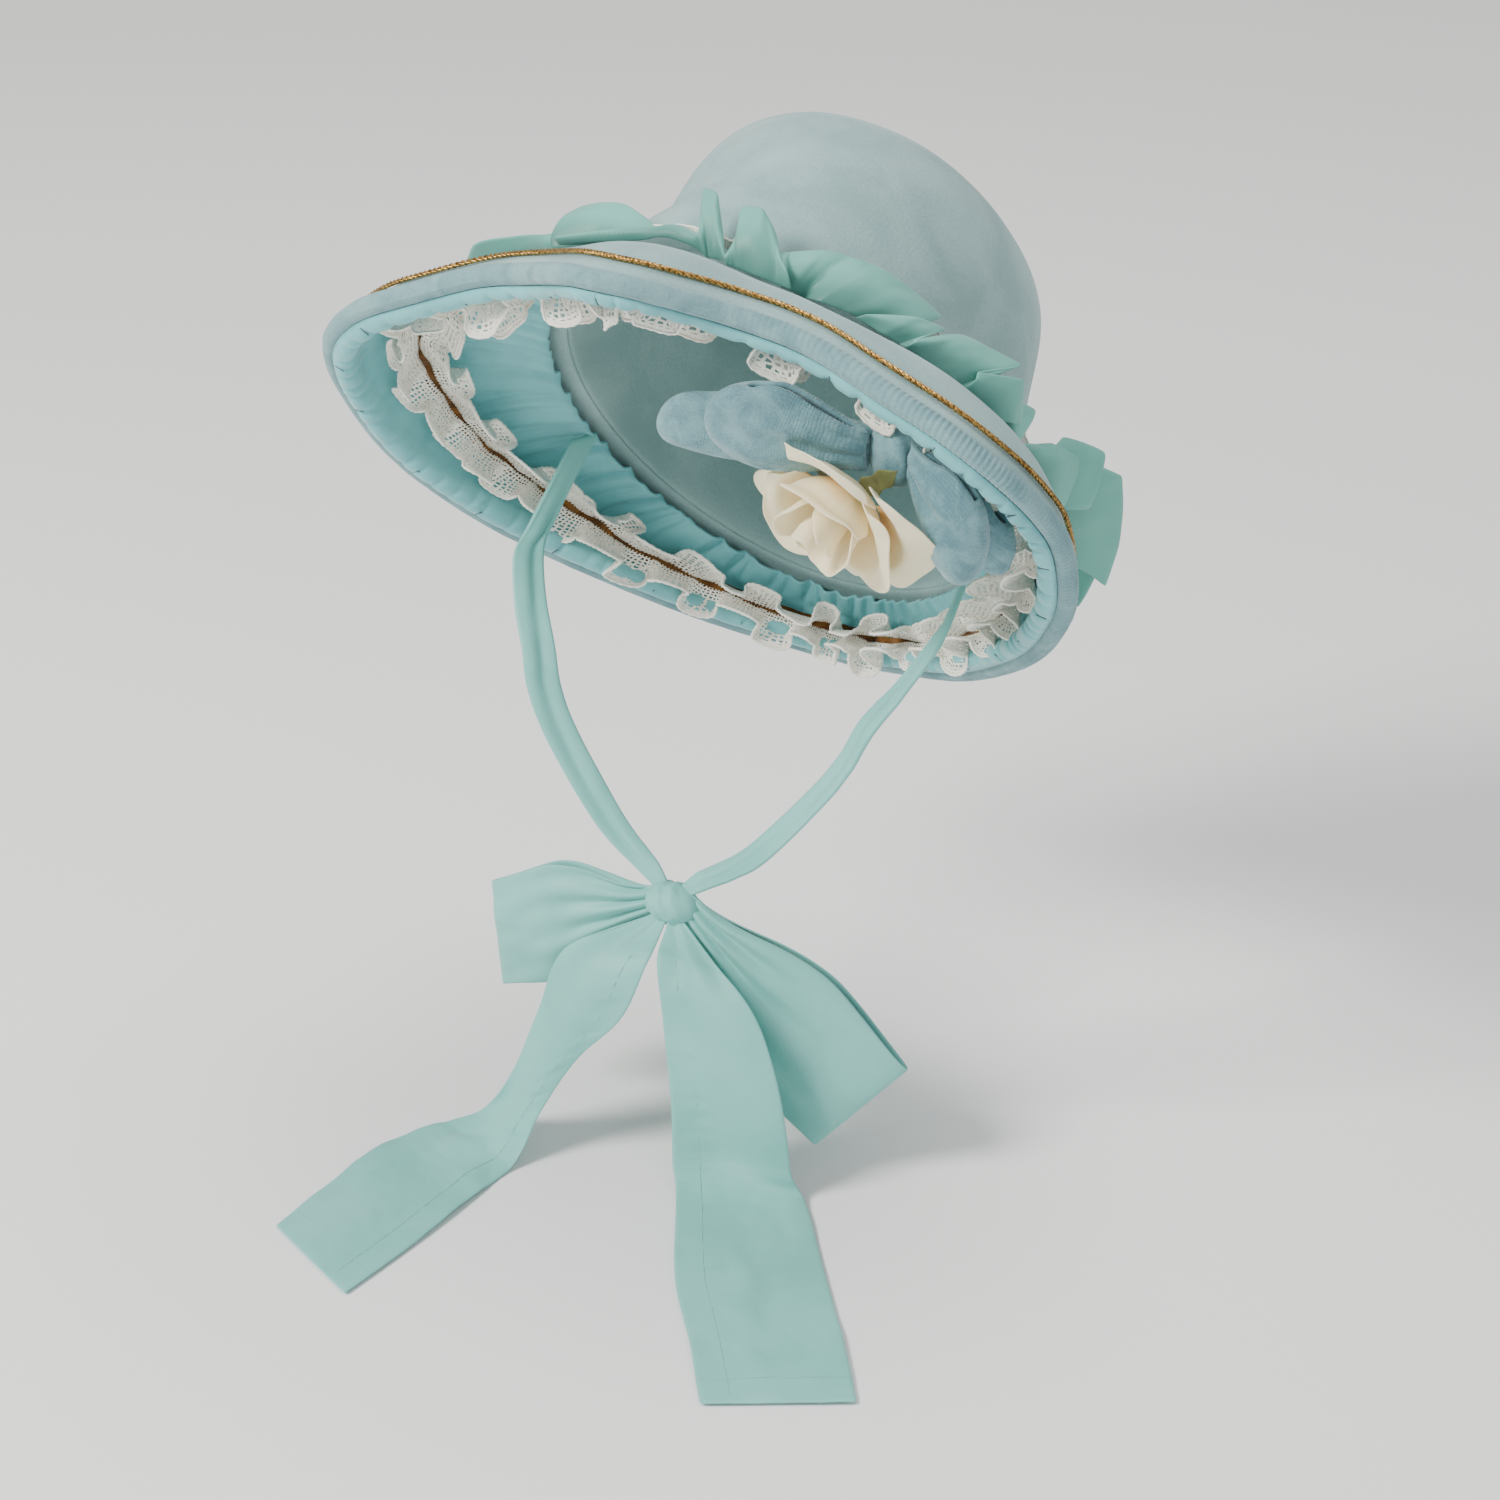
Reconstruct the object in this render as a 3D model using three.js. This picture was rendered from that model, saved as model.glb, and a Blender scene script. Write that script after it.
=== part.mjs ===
// Velour bonnet with a tapered crown, a flared brim, a satin ruffle, lace, a rose and ribbon ties.
// Millimetres, +Z up, the wearer faces -Y and the wearer's left is +X.
// The origin is the seat, the highest point inside the crown, which carries the worn bonnet.
// Crown, brim and trimmings are set out in the crown's own frame: its XY plane is the join
// of crown and brim, +Z runs to the crown's top, and -Y points to the front of the brim.

import * as THREE from "three";

// Driving dimensions
const CROWN_TILT = 54;          // degrees that the crown leans back
const CROWN_HALF_WIDTH = 84;    // join of crown and brim, to the middle of the wall
const CROWN_HALF_LENGTH = 105;
const CROWN_HEIGHT = 118;
const VELOUR_WALL = 2;
const GAP = 0.3;                // between touching pieces
const BRIM_HALF_WIDTH = 151;
const BRIM_REACH_UP = 157;      // join's middle to the front peak, in the join's plane
const BRIM_REACH_DOWN = 128;    // join's middle to the back of the brim
const BRIM_FORWARD = 50;        // depth of the brim's edge in front of the join
const BRIM_BELLY = 0.16;        // bow of the brim away from the straight line, share of its depth
const ROLL_DIAMETER = 8;
const CORD_DIAMETER = 2.2;
const CORD_INSET = 15;          // gold cord to the brim's outermost edge
const LINING_WALL = 1;
const LINING_PLEATS = 26;
const LINING_PLEAT_DEPTH = 1.6;
const RUFFLE_WIDTH = 45;
const RUFFLE_WALL = 1.2;
const LACE_WALL = 1;
const OUTER_LACE_WIDTH = 10;
const OUTER_LACE_FOOT = 13.0;   // height of its foot over the brim
const OUTER_LACE_RISE = 68;     // degrees off the brim
const OUTER_LACE_FLUTE = 4;     // degrees that its flutes lean either way
const OUTER_LACE_FLUTES = 21;
const LACE_ROW_WIDTH = 15;       // each row on the underside
const LACE_SCALLOPS = 24;
const LACE_WAVE = 2.2;
const RIBBON_PART = 0.60;        // velvet ribbon's place from the join to the brim's edge
const VELVET_RIBBON_WIDTH = 8;
const VELVET_RIBBON_WALL = 1.4;
const BOW_RIBBON_WALL = 2;
const BOW_ANGLE = 47;            // place of its knot round the join, from the front
const BOW_PART = 0.62;           // and from the join to the brim's edge
const BOW_UNDER = 30;            // depth of the knot's middle under the brim
const BOW_REACH = 82;
const BOW_KNOT_SIZE = 17;
const BOW_KNOT_SHAPE = { x: 1.1, y: 0.9, z: 1.5 };
const BOW_LAYER = 4.6;           // loops of one side leave the knot this far from its middle
const KNOT_CLEAR = 1.4;           // loops to the knot, along the bow
const BOW_PINCH = 0.45;          // a loop's width where it enters the knot, share of its own
const LOOP_CROWNING = 0.05;      // how far a loop's edges turn in, share of its width
const ROSE_DIAMETER = 52;
const ROSE_DEPTH = 34;
const ROSE_FLOOR = 4.5;          // depth of the calyx under the petals
const BUD_DIAMETER = 9;
const STEM_DIAMETER = 3;
const ROSE_BESIDE = 10;          // calyx to the bow's knot, sideways
const ROSE_BELOW = 30;           // and down
const ROSE_TURN = 26;            // degrees that the rose faces away from straight ahead
const ROSE_DIP = 16;             // and down
const PETAL_WALL = 1.2;
const TIE_WIDTH = 13;           // folded width of each tie
const TIE_WALL = 2.4;           // two layers of the ribbon
const TIE_ANGLE = 100;          // where the ties are sewn in, from the front of the join
const TIE_PART = 0.07;
const RIBBON_WIDTH = 55;        // flat width of the chiffon ribbon
const RIBBON_WALL = 1.2;
const KNOT_WIDTH = 22;
const KNOT_DEPTH = 16;
const KNOT_HEIGHT = 17;
const KNOT_FORWARD = 62;        // middle of the hollow to the chin knot
const CHIN_DROP = 120;          // middle of the hollow to the chin knot
const TAIL_REACH = 150;          // how far the ribbon's ends lie in front of the knot
const TABLE_DROP = 218;         // middle of the hollow to the level that the tails lie on

// The crown's lower edge stands just clear of the brim's wall
const CROWN_FOOT = VELOUR_WALL / 2 + GAP;
// Neighbours whose facets fall at other steps around the brim stand off by this much more
const SETTLE = 0.6;
const CROWN_CLEAR = VELOUR_WALL / 2 + GAP + SETTLE;

// The join's middle, seen from the middle of the head hollow
const JOIN_BACK = 17;
const JOIN_UP = 42;

const DEG = Math.PI / 180;
const vec = (x, y, z) => new THREE.Vector3(x, y, z);
const mix = (a, b, t) => a + (b - a) * t;

// Reads one named column of a table at a key by a smooth curve through its rows
function column(table, keyName, name, key) {
  const last = table.length - 1;
  let i = 0;
  while (i < last - 1 && key > table[i + 1][keyName]) i += 1;
  const [p0, p1, p2, p3] = [i - 1, i, i + 1, i + 2].map((k) => table[Math.min(Math.max(k, 0), last)]);
  const span = p2[keyName] - p1[keyName];
  const t = Math.min(Math.max((key - p1[keyName]) / span, 0), 1);
  const slope = (a, b) => (b[keyName] === a[keyName] ? 0 : (b[name] - a[name]) / (b[keyName] - a[keyName]));
  const m1 = slope(p0, p2) * span;
  const m2 = slope(p1, p3) * span;
  const t2 = t * t;
  const t3 = t2 * t;
  return (2 * t3 - 3 * t2 + 1) * p1[name] + (t3 - 2 * t2 + t) * m1
    + (3 * t2 - 2 * t3) * p2[name] + (t3 - t2) * m2;
}

// Closed cloth wall about a grid of points: rows[i][j] runs i along and j across
function clothWall(rows, wall, { loop = false, pole = false } = {}) {
  const along = rows.length;
  const across = rows[0].length;
  const clampTo = (k, n) => Math.min(Math.max(k, 0), n - 1);
  const rowIndex = (i) => (loop ? (i + along) % along : clampTo(i, along));
  const point = (i, j) => rows[rowIndex(i)][clampTo(j, across)];
  const normals = rows.map((row, i) => row.map((_, j) => {
    const d = point(i + 1, j).clone().sub(point(i - 1, j));
    const e = point(i, j + 1).clone().sub(point(i, j - 1));
    return d.cross(e).normalize();
  }));
  const top = across - 1;
  if (pole) {
    const mean = vec(0, 0, 0);
    rows.forEach((_, i) => mean.add(normals[i][top - 1]));
    mean.normalize();
    rows.forEach((_, i) => normals[i][top].copy(mean));
  }
  const positions = [];
  const side = (sign) => rows.map((row, i) => row.map((p, j) => {
    if (pole && j === top && i > 0) return null;
    const q = p.clone().addScaledVector(normals[i][j], sign * wall / 2);
    positions.push(q.x, q.y, q.z);
    return positions.length / 3 - 1;
  }));
  const outer = side(1);
  const inner = side(-1);
  const id = (grid, i, j) => (pole && j === top ? grid[0][top] : grid[rowIndex(i)][j]);
  const index = [];
  const quad = (a, b, c, d) => {
    if (a !== b && b !== c && a !== c) index.push(a, b, c);
    if (a !== c && c !== d && a !== d) index.push(a, c, d);
  };
  const spans = loop ? along : along - 1;
  for (let i = 0; i < spans; i += 1) {
    for (let j = 0; j < top; j += 1) {
      quad(id(outer, i, j), id(outer, i + 1, j), id(outer, i + 1, j + 1), id(outer, i, j + 1));
      quad(id(inner, i, j + 1), id(inner, i + 1, j + 1), id(inner, i + 1, j), id(inner, i, j));
    }
    quad(id(inner, i, 0), id(inner, i + 1, 0), id(outer, i + 1, 0), id(outer, i, 0));
    if (!pole) quad(id(outer, i, top), id(outer, i + 1, top), id(inner, i + 1, top), id(inner, i, top));
  }
  if (!loop) {
    const end = along - 1;
    for (let j = 0; j < top; j += 1) {
      quad(id(outer, 0, j), id(outer, 0, j + 1), id(inner, 0, j + 1), id(inner, 0, j));
      quad(id(inner, end, j), id(inner, end, j + 1), id(outer, end, j + 1), id(outer, end, j));
    }
  }
  return geometry(positions, index);
}

function geometry(positions, index) {
  const shape = new THREE.BufferGeometry();
  shape.setAttribute("position", new THREE.Float32BufferAttribute(positions, 3));
  shape.setIndex(index);
  shape.computeVertexNormals();
  return shape;
}

// Round roll along a path; facing[i] points from the path to the section's first corner
function roll(path, facing, radius, sides, loop) {
  const count = path.length;
  const at = (i) => path[loop ? (i + count) % count : Math.min(Math.max(i, 0), count - 1)];
  const positions = [];
  path.forEach((p, i) => {
    const tangent = at(i + 1).clone().sub(at(i - 1)).normalize();
    const u = facing[i].clone().addScaledVector(tangent, -facing[i].dot(tangent)).normalize();
    const v = tangent.clone().cross(u);
    for (let k = 0; k < sides; k += 1) {
      const turn = 2 * Math.PI * k / sides;
      const q = p.clone().addScaledVector(u, radius * Math.cos(turn)).addScaledVector(v, radius * Math.sin(turn));
      positions.push(q.x, q.y, q.z);
    }
  });
  const index = [];
  const id = (i, k) => ((loop ? i % count : i) * sides) + (k % sides);
  const spans = loop ? count : count - 1;
  for (let i = 0; i < spans; i += 1) {
    for (let k = 0; k < sides; k += 1) {
      index.push(id(i, k), id(i, k + 1), id(i + 1, k + 1));
      index.push(id(i, k), id(i + 1, k + 1), id(i + 1, k));
    }
  }
  if (!loop) {
    for (let k = 1; k < sides - 1; k += 1) {
      index.push(id(0, 0), id(0, k + 1), id(0, k));
      index.push(id(count - 1, 0), id(count - 1, k), id(count - 1, k + 1));
    }
  }
  return geometry(positions, index);
}

function mesh(name, shape, color, roughness = 0.9, metalness = 0) {
  const made = new THREE.Mesh(shape, new THREE.MeshStandardMaterial({ color, roughness, metalness }));
  made.name = name;
  return made;
}

// Colours of the cloths
const VELOUR = 0xb4cacc;
const VELOUR_EDGE = 0x8fb4be;
const BOW_VELOUR = 0x8fb0bc;
const SATIN = 0x8fc4bf;
const CHIFFON = 0xa0cfca;
const LACE = 0xe6e2d8;
const BROWN_VELVET = 0x7a5226;
const ROSE_CLOTH = 0xf3ebd9;
const LEAF = 0x7d8450;
const GOLD = 0xc9a66b;

// From the crown's frame to the hollow's frame
const crownPlace = new THREE.Matrix4().makeRotationX(-CROWN_TILT * DEG).setPosition(0, JOIN_BACK, JOIN_UP);

// Join of crown and brim at an angle from the front, in the crown's frame
function joinPoint(angle, outward = 0) {
  const x = (CROWN_HALF_WIDTH + outward) * Math.sin(angle * DEG);
  const y = -(CROWN_HALF_LENGTH + outward) * Math.cos(angle * DEG);
  return vec(x, y, 0);
}

// Crown: half sections from the join to the top, as shares of its height and its join sizes
const CROWN_SECTIONS = [
  { height: 0.00, width: 1.00, length: 1.00, shift: 0.00 },
  { height: 0.15, width: 0.99, length: 0.98, shift: 0.00 },
  { height: 0.35, width: 0.95, length: 0.93, shift: 0.00 },
  { height: 0.55, width: 0.88, length: 0.85, shift: 0.01 },
  { height: 0.72, width: 0.77, length: 0.73, shift: 0.02 },
  { height: 0.85, width: 0.62, length: 0.58, shift: 0.03 },
  { height: 0.94, width: 0.42, length: 0.39, shift: 0.03 },
  { height: 0.985, width: 0.21, length: 0.20, shift: 0.03 },
  { height: 1.00, width: 0.00, length: 0.00, shift: 0.03 },
];

// Soft dents of the crown: place, reach and depth, depth as a share of its half width
const CROWN_DENTS = [
  { angle: -30, height: 0.45, spreadAngle: 26, spreadHeight: 0.20, depth: 0.07 },
  { angle: 72, height: 0.28, spreadAngle: 14, spreadHeight: 0.22, depth: 0.05 },
  { angle: 118, height: 0.50, spreadAngle: 12, spreadHeight: 0.30, depth: 0.04 },
  { angle: -125, height: 0.40, spreadAngle: 24, spreadHeight: 0.22, depth: 0.04 },
];

function crownPoint(angle, height) {
  const width = CROWN_HALF_WIDTH * column(CROWN_SECTIONS, "height", "width", height);
  const length = CROWN_HALF_LENGTH * column(CROWN_SECTIONS, "height", "length", height);
  const shift = CROWN_HALF_LENGTH * column(CROWN_SECTIONS, "height", "shift", height);
  let dent = 0;
  for (const d of CROWN_DENTS) {
    const away = ((angle - d.angle + 540) % 360 - 180) / d.spreadAngle;
    const above = (height - d.height) / d.spreadHeight;
    dent += d.depth * Math.exp(-away * away - above * above);
  }
  const keep = 1 - dent;
  return vec(width * keep * Math.sin(angle * DEG), -length * keep * Math.cos(angle * DEG) - shift,
    CROWN_FOOT + (CROWN_HEIGHT - CROWN_FOOT) * height);
}

const AROUND = 44;
const anglesAround = Array.from({ length: AROUND }, (_, i) => 360 * i / AROUND);

function makeCrown() {
  const heights = [0, 0.14, 0.30, 0.46, 0.61, 0.75, 0.87, 0.95, 1];
  const rows = anglesAround.map((angle) => heights.map((h) => crownPoint(angle, h)));
  return mesh("crown", clothWall(rows, VELOUR_WALL, { loop: true, pole: true }), VELOUR);
}

// Outermost edge of the brim, a row per angle at the join: across as a share of the half
// width, up as a share of the reach up (or down, where negative), forward of the join
const BRIM_EDGE = [
  { angle: 0, across: 0.00, up: 1.000, forward: 0.93 },
  { angle: 8, across: 0.10, up: 0.975, forward: 0.89 },
  { angle: 18, across: 0.28, up: 0.850, forward: 0.72 },
  { angle: 28, across: 0.46, up: 0.780, forward: 0.70 },
  { angle: 38, across: 0.66, up: 0.715, forward: 0.84 },
  { angle: 47, across: 0.81, up: 0.650, forward: 0.93 },
  { angle: 56, across: 0.92, up: 0.550, forward: 0.98 },
  { angle: 65, across: 0.98, up: 0.430, forward: 0.98 },
  { angle: 75, across: 1.00, up: 0.300, forward: 0.98 },
  { angle: 86, across: 0.97, up: 0.120, forward: 1.02 },
  { angle: 98, across: 0.90, up: -0.050, forward: 1.02 },
  { angle: 112, across: 0.79, up: -0.270, forward: 0.96 },
  { angle: 130, across: 0.62, up: -0.530, forward: 0.82 },
  { angle: 150, across: 0.38, up: -0.820, forward: 0.62 },
  { angle: 168, across: 0.13, up: -0.970, forward: 0.50 },
  { angle: 180, across: 0.00, up: -1.000, forward: 0.48 },
];

function brimEdge(angle) {
  const turn = ((angle + 540) % 360) - 180;
  const key = Math.abs(turn);
  const up = column(BRIM_EDGE, "angle", "up", key);
  const reach = up > 0 ? BRIM_REACH_UP : BRIM_REACH_DOWN;
  return vec(Math.sign(turn) * BRIM_HALF_WIDTH * column(BRIM_EDGE, "angle", "across", key),
    -reach * up, -BRIM_FORWARD * column(BRIM_EDGE, "angle", "forward", key));
}

// Middle of the brim's cloth: part 0 is the join and part 1 the outermost edge.
// The brim leaves the join outwards and turns forwards.
function brimMiddle(angle, part) {
  const from = joinPoint(angle);
  const to = brimEdge(angle);
  const run = to.clone().sub(from);
  const outward = vec(from.x, from.y, 0).normalize();
  const bend = vec(0, 0, 1).addScaledVector(run, -run.z / run.lengthSq()).normalize();
  bend.addScaledVector(outward, 0.2).normalize();
  return from.addScaledVector(run, part).addScaledVector(bend, run.length() * BRIM_BELLY * 4 * part * (1 - part));
}

// Direction out of the brim's outer face
function brimNormal(angle, part) {
  const step = 0.01;
  const along = brimMiddle(angle + 1, part).sub(brimMiddle(angle - 1, part));
  const across = brimMiddle(angle, part + step).sub(brimMiddle(angle, part - step));
  return across.cross(along).normalize();
}

// Point near the brim: a length short of its outermost edge and a height over its middle
function brimDepth(angle) {
  return brimEdge(angle).distanceTo(joinPoint(angle));
}

function brimPoint(angle, part, over = 0) {
  return brimMiddle(angle, part).addScaledVector(brimNormal(angle, part), over);
}

const partShortOfEdge = (angle, length) => 1 - length / brimDepth(angle);

function makeBrim() {
  const steps = 5;
  const rows = anglesAround.map((angle) => {
    const end = partShortOfEdge(angle, ROLL_DIAMETER + GAP);
    return Array.from({ length: steps + 1 }, (_, j) => brimPoint(angle, end * j / steps));
  });
  return mesh("brim", clothWall(rows, VELOUR_WALL, { loop: true }), VELOUR);
}

function makeEdgeRoll() {
  const path = anglesAround.map((angle) => brimPoint(angle, partShortOfEdge(angle, ROLL_DIAMETER / 2)));
  const facing = anglesAround.map((angle) => brimNormal(angle, 0.9));
  return mesh("edge_roll", roll(path, facing, ROLL_DIAMETER / 2, 6, true), VELOUR_EDGE);
}

function makeGoldCord() {
  const over = VELOUR_WALL / 2 + GAP + CORD_DIAMETER / 2;
  const path = anglesAround.map((angle) => brimPoint(angle, partShortOfEdge(angle, CORD_INSET), over));
  const facing = anglesAround.map((angle) => brimNormal(angle, 0.8));
  return mesh("gold_cord", roll(path, facing, CORD_DIAMETER / 2, 5, true), GOLD, 0.35, 1);
}

// Lining: radial pleats on the underside, deeper towards the join
function makeLining() {
  const perPleat = 3;
  const count = LINING_PLEATS * perPleat;
  const parts = [0.06, 0.55, 1];
  const rows = Array.from({ length: count }, (_, i) => {
    const angle = 360 * i / count;
    const wave = 0.5 + 0.5 * Math.cos(2 * Math.PI * i / perPleat);
    const end = partShortOfEdge(angle, ROLL_DIAMETER + GAP + LINING_WALL);
    return parts.map((p) => {
      const depth = LINING_PLEAT_DEPTH * mix(1.6, 0.5, p);
      return brimPoint(angle, end * p, -(VELOUR_WALL / 2 + GAP + LINING_WALL / 2 + SETTLE + depth * wave));
    });
  });
  return mesh("brim_lining", clothWall(rows, LINING_WALL, { loop: true }), SATIN, 0.5);
}

// Ruffle: a band that stands off the brim in irregular folds, a row per fold line. The
// angle is at its foot and the lean is how far round its upper edge lies from there; reach
// is a share of the band's width, foot is its foot's height over the brim as a share of the
// same width, and rise is how steeply it stands off the brim, in degrees.
const RUFFLE_FOLDS = [
  { angle: -124, lean: 0, reach: 0.80, foot: 0.04, rise: 44 },
  { angle: -116, lean: 2, reach: 0.92, foot: 0.16, rise: 60 },
  { angle: -107, lean: -2, reach: 0.96, foot: 0.02, rise: 42 },
  { angle: -98, lean: 2, reach: 0.96, foot: 0.16, rise: 56 },
  { angle: -89, lean: -3, reach: 1.00, foot: 0.02, rise: 32 },
  { angle: -79, lean: 3, reach: 0.94, foot: 0.14, rise: 46 },
  { angle: -70, lean: -2, reach: 0.80, foot: 0.02, rise: 20 },
  { angle: -60, lean: 2, reach: 0.72, foot: 0.12, rise: 22 },
  { angle: -50, lean: -2, reach: 0.66, foot: 0.04, rise: 8 },
  { angle: -37, lean: 4, reach: 0.66, foot: 0.02, rise: 4 },
  { angle: -29, lean: 7, reach: 0.68, foot: 0.02, rise: 8 },
  { angle: -22, lean: 6, reach: 0.72, foot: 0.18, rise: 16 },
  { angle: -14, lean: 5, reach: 0.72, foot: 0.24, rise: 26 },
  { angle: -6, lean: 4, reach: 0.70, foot: 0.16, rise: 20 },
  { angle: -1, lean: 4, reach: 0.68, foot: 0.03, rise: 14 },
  { angle: 4, lean: 3, reach: 0.68, foot: 0.02, rise: 16 },
  { angle: 9, lean: -1, reach: 0.78, foot: 0.20, rise: 40 },
  { angle: 13, lean: -2, reach: 0.76, foot: 0.02, rise: 36 },
  { angle: 18, lean: -2, reach: 0.76, foot: 0.20, rise: 38 },
  { angle: 24, lean: -1, reach: 0.70, foot: 0.02, rise: 26 },
  { angle: 33, lean: 2, reach: 0.74, foot: 0.16, rise: 36 },
  { angle: 41, lean: 1, reach: 0.74, foot: 0.08, rise: 34 },
  { angle: 48, lean: 0, reach: 0.78, foot: 0.16, rise: 34 },
  { angle: 56, lean: -2, reach: 0.74, foot: 0.02, rise: 24 },
  { angle: 64, lean: 2, reach: 0.88, foot: 0.18, rise: 54 },
  { angle: 70, lean: -1, reach: 0.82, foot: 0.02, rise: 32 },
  { angle: 77, lean: 0, reach: 0.88, foot: 0.16, rise: 46 },
  { angle: 84, lean: 2, reach: 0.98, foot: 0.06, rise: 56 },
  { angle: 93, lean: 3, reach: 1.02, foot: 0.20, rise: 64 },
  { angle: 101, lean: 2, reach: 1.02, foot: 0.06, rise: 55 },
  { angle: 108, lean: 2, reach: 0.98, foot: 0.14, rise: 52 },
  { angle: 115, lean: 0, reach: 0.90, foot: 0.03, rise: 42 },
  { angle: 124, lean: 0, reach: 0.80, foot: 0.08, rise: 46 },
];

function rufflePoint(angle, across) {
  const read = (name) => column(RUFFLE_FOLDS, "angle", name, angle);
  const clear = VELOUR_WALL / 2 + GAP + SETTLE / 3 + RUFFLE_WALL / 2;
  const rise = read("rise") * DEG;
  const reach = RUFFLE_WIDTH * read("reach") * across;
  const at = angle + read("lean") * across;
  const over = clear + RUFFLE_WIDTH * read("foot") * (1 - across) + reach * Math.sin(rise);
  return brimPoint(at, (clear + reach * Math.cos(rise)) / brimDepth(at), over);
}

function makeRuffle() {
  const first = RUFFLE_FOLDS[0].angle;
  const last = RUFFLE_FOLDS[RUFFLE_FOLDS.length - 1].angle;
  const steps = 84;
  const rows = Array.from({ length: steps + 1 }, (_, i) => {
    const angle = mix(first, last, i / steps);
    return [0, 0.5, 1].map((across) => rufflePoint(angle, across));
  });
  return mesh("ruffle", clothWall(rows, RUFFLE_WALL), SATIN, 0.5);
}

// Outer lace: stands more steeply than any fold of the ruffle, close behind it
function makeOuterLace() {
  const perFlute = 3;
  const steps = OUTER_LACE_FLUTES * perFlute;
  const span = RUFFLE_FOLDS[RUFFLE_FOLDS.length - 1].angle;
  const foot = CROWN_CLEAR + OUTER_LACE_FOOT;
  const rows = Array.from({ length: steps + 1 }, (_, i) => [0, 1].map((across) => {
    const angle = mix(-span, span, i / steps);
    const rise = (OUTER_LACE_RISE + OUTER_LACE_FLUTE * Math.cos(2 * Math.PI * i / perFlute)) * DEG;
    const along = 2 * CROWN_CLEAR + OUTER_LACE_WIDTH * across * Math.cos(rise);
    return brimPoint(angle, along / brimDepth(angle), foot + OUTER_LACE_WIDTH * across * Math.sin(rise));
  }));
  return mesh("outer_lace", clothWall(rows, LACE_WALL), LACE);
}

// Lace rows on the underside, gathered on a velvet ribbon; depth under the brim's middle
const LINING_DEPTH = VELOUR_WALL / 2 + GAP + SETTLE + LINING_WALL + 2 * LINING_PLEAT_DEPTH;
const LACE_DEPTH = LINING_DEPTH + GAP + SETTLE + LACE_WALL;

function laceRow(name, toward, drop) {
  const fromRibbon = VELVET_RIBBON_WIDTH / 2 + GAP + SETTLE + LACE_WALL / 2;
  const perScallop = 3;
  const count = LACE_SCALLOPS * perScallop;
  const rows = Array.from({ length: count }, (_, i) => {
    const angle = 360 * i / count;
    const wave = 0.5 + 0.5 * Math.cos(2 * Math.PI * i / perScallop);
    const start = RIBBON_PART + toward * fromRibbon / brimDepth(angle);
    const reach = toward * LACE_ROW_WIDTH / brimDepth(angle);
    return [0, 0.5, 1].map((across) => {
      const under = LACE_DEPTH + across * (drop + 2 * LACE_WAVE * wave);
      return brimPoint(angle, start + reach * across, -under);
    });
  });
  if (toward < 0) rows.forEach((row) => row.reverse());
  return mesh(name, clothWall(rows, LACE_WALL, { loop: true }), LACE);
}

function makeInnerRibbon() {
  const under = LACE_DEPTH;
  const half = (angle) => VELVET_RIBBON_WIDTH / 2 / brimDepth(angle);
  const rows = anglesAround.map((angle) => [-1, 1].map((side) => (
    brimPoint(angle, RIBBON_PART + side * half(angle), -under)
  )));
  return mesh("inner_ribbon", clothWall(rows, VELVET_RIBBON_WALL, { loop: true }), BROWN_VELVET);
}

// Velour bow under the right front of the brim, set out in the hollow's frame
// Loops of the bow: where each tip lies from the knot, its width and half opening, as
// shares of the bow's reach; the layer is the side of the knot that it leaves
const BOW_LOOPS = [
  { name: "bow_loop_left_back", x: -0.88, y: -0.26, z: 0.06, width: 0.34, open: 0.08, layer: 1 },
  { name: "bow_loop_left_front", x: -0.61, y: -0.40, z: 0.20, width: 0.30, open: 0.10, layer: -1 },
  { name: "bow_loop_right_front", x: 0.385, y: -0.02, z: -0.34, width: 0.38, open: 0.12, layer: -1 },
  { name: "bow_loop_right_back", x: 0.37, y: 0.22, z: -0.48, width: 0.24, open: 0.05, layer: 1 },
];

// A ribbon that runs out to a rounded fold and back; the widths turn from the first
// direction to the second, and openings are half heights
function loopRows({ start, tip, opening, open, widthFrom, widthTo, width, pinch, apart, across, steps }) {
  const run = tip.clone().sub(start);
  return Array.from({ length: steps + 1 }, (_, i) => {
    const turn = Math.PI * i / steps;
    const out = Math.sin(turn) ** 0.8;
    const middle = start.clone().addScaledVector(run, out)
      .addScaledVector(opening, (apart + open * out ** 0.6) * Math.cos(turn));
    const side = widthFrom.clone().lerp(widthTo, out).normalize();
    const half = width / 2 * mix(pinch, 1, Math.min(1, out * 1.6));
    return across.map((t) => middle.clone().addScaledVector(side, t * half)
      .addScaledVector(opening, -LOOP_CROWNING * width * t * t * Math.cos(turn)));
  });
}
const bowMiddle = () => brimPoint(BOW_ANGLE, BOW_PART, -BOW_UNDER).applyMatrix4(crownPlace);

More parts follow.
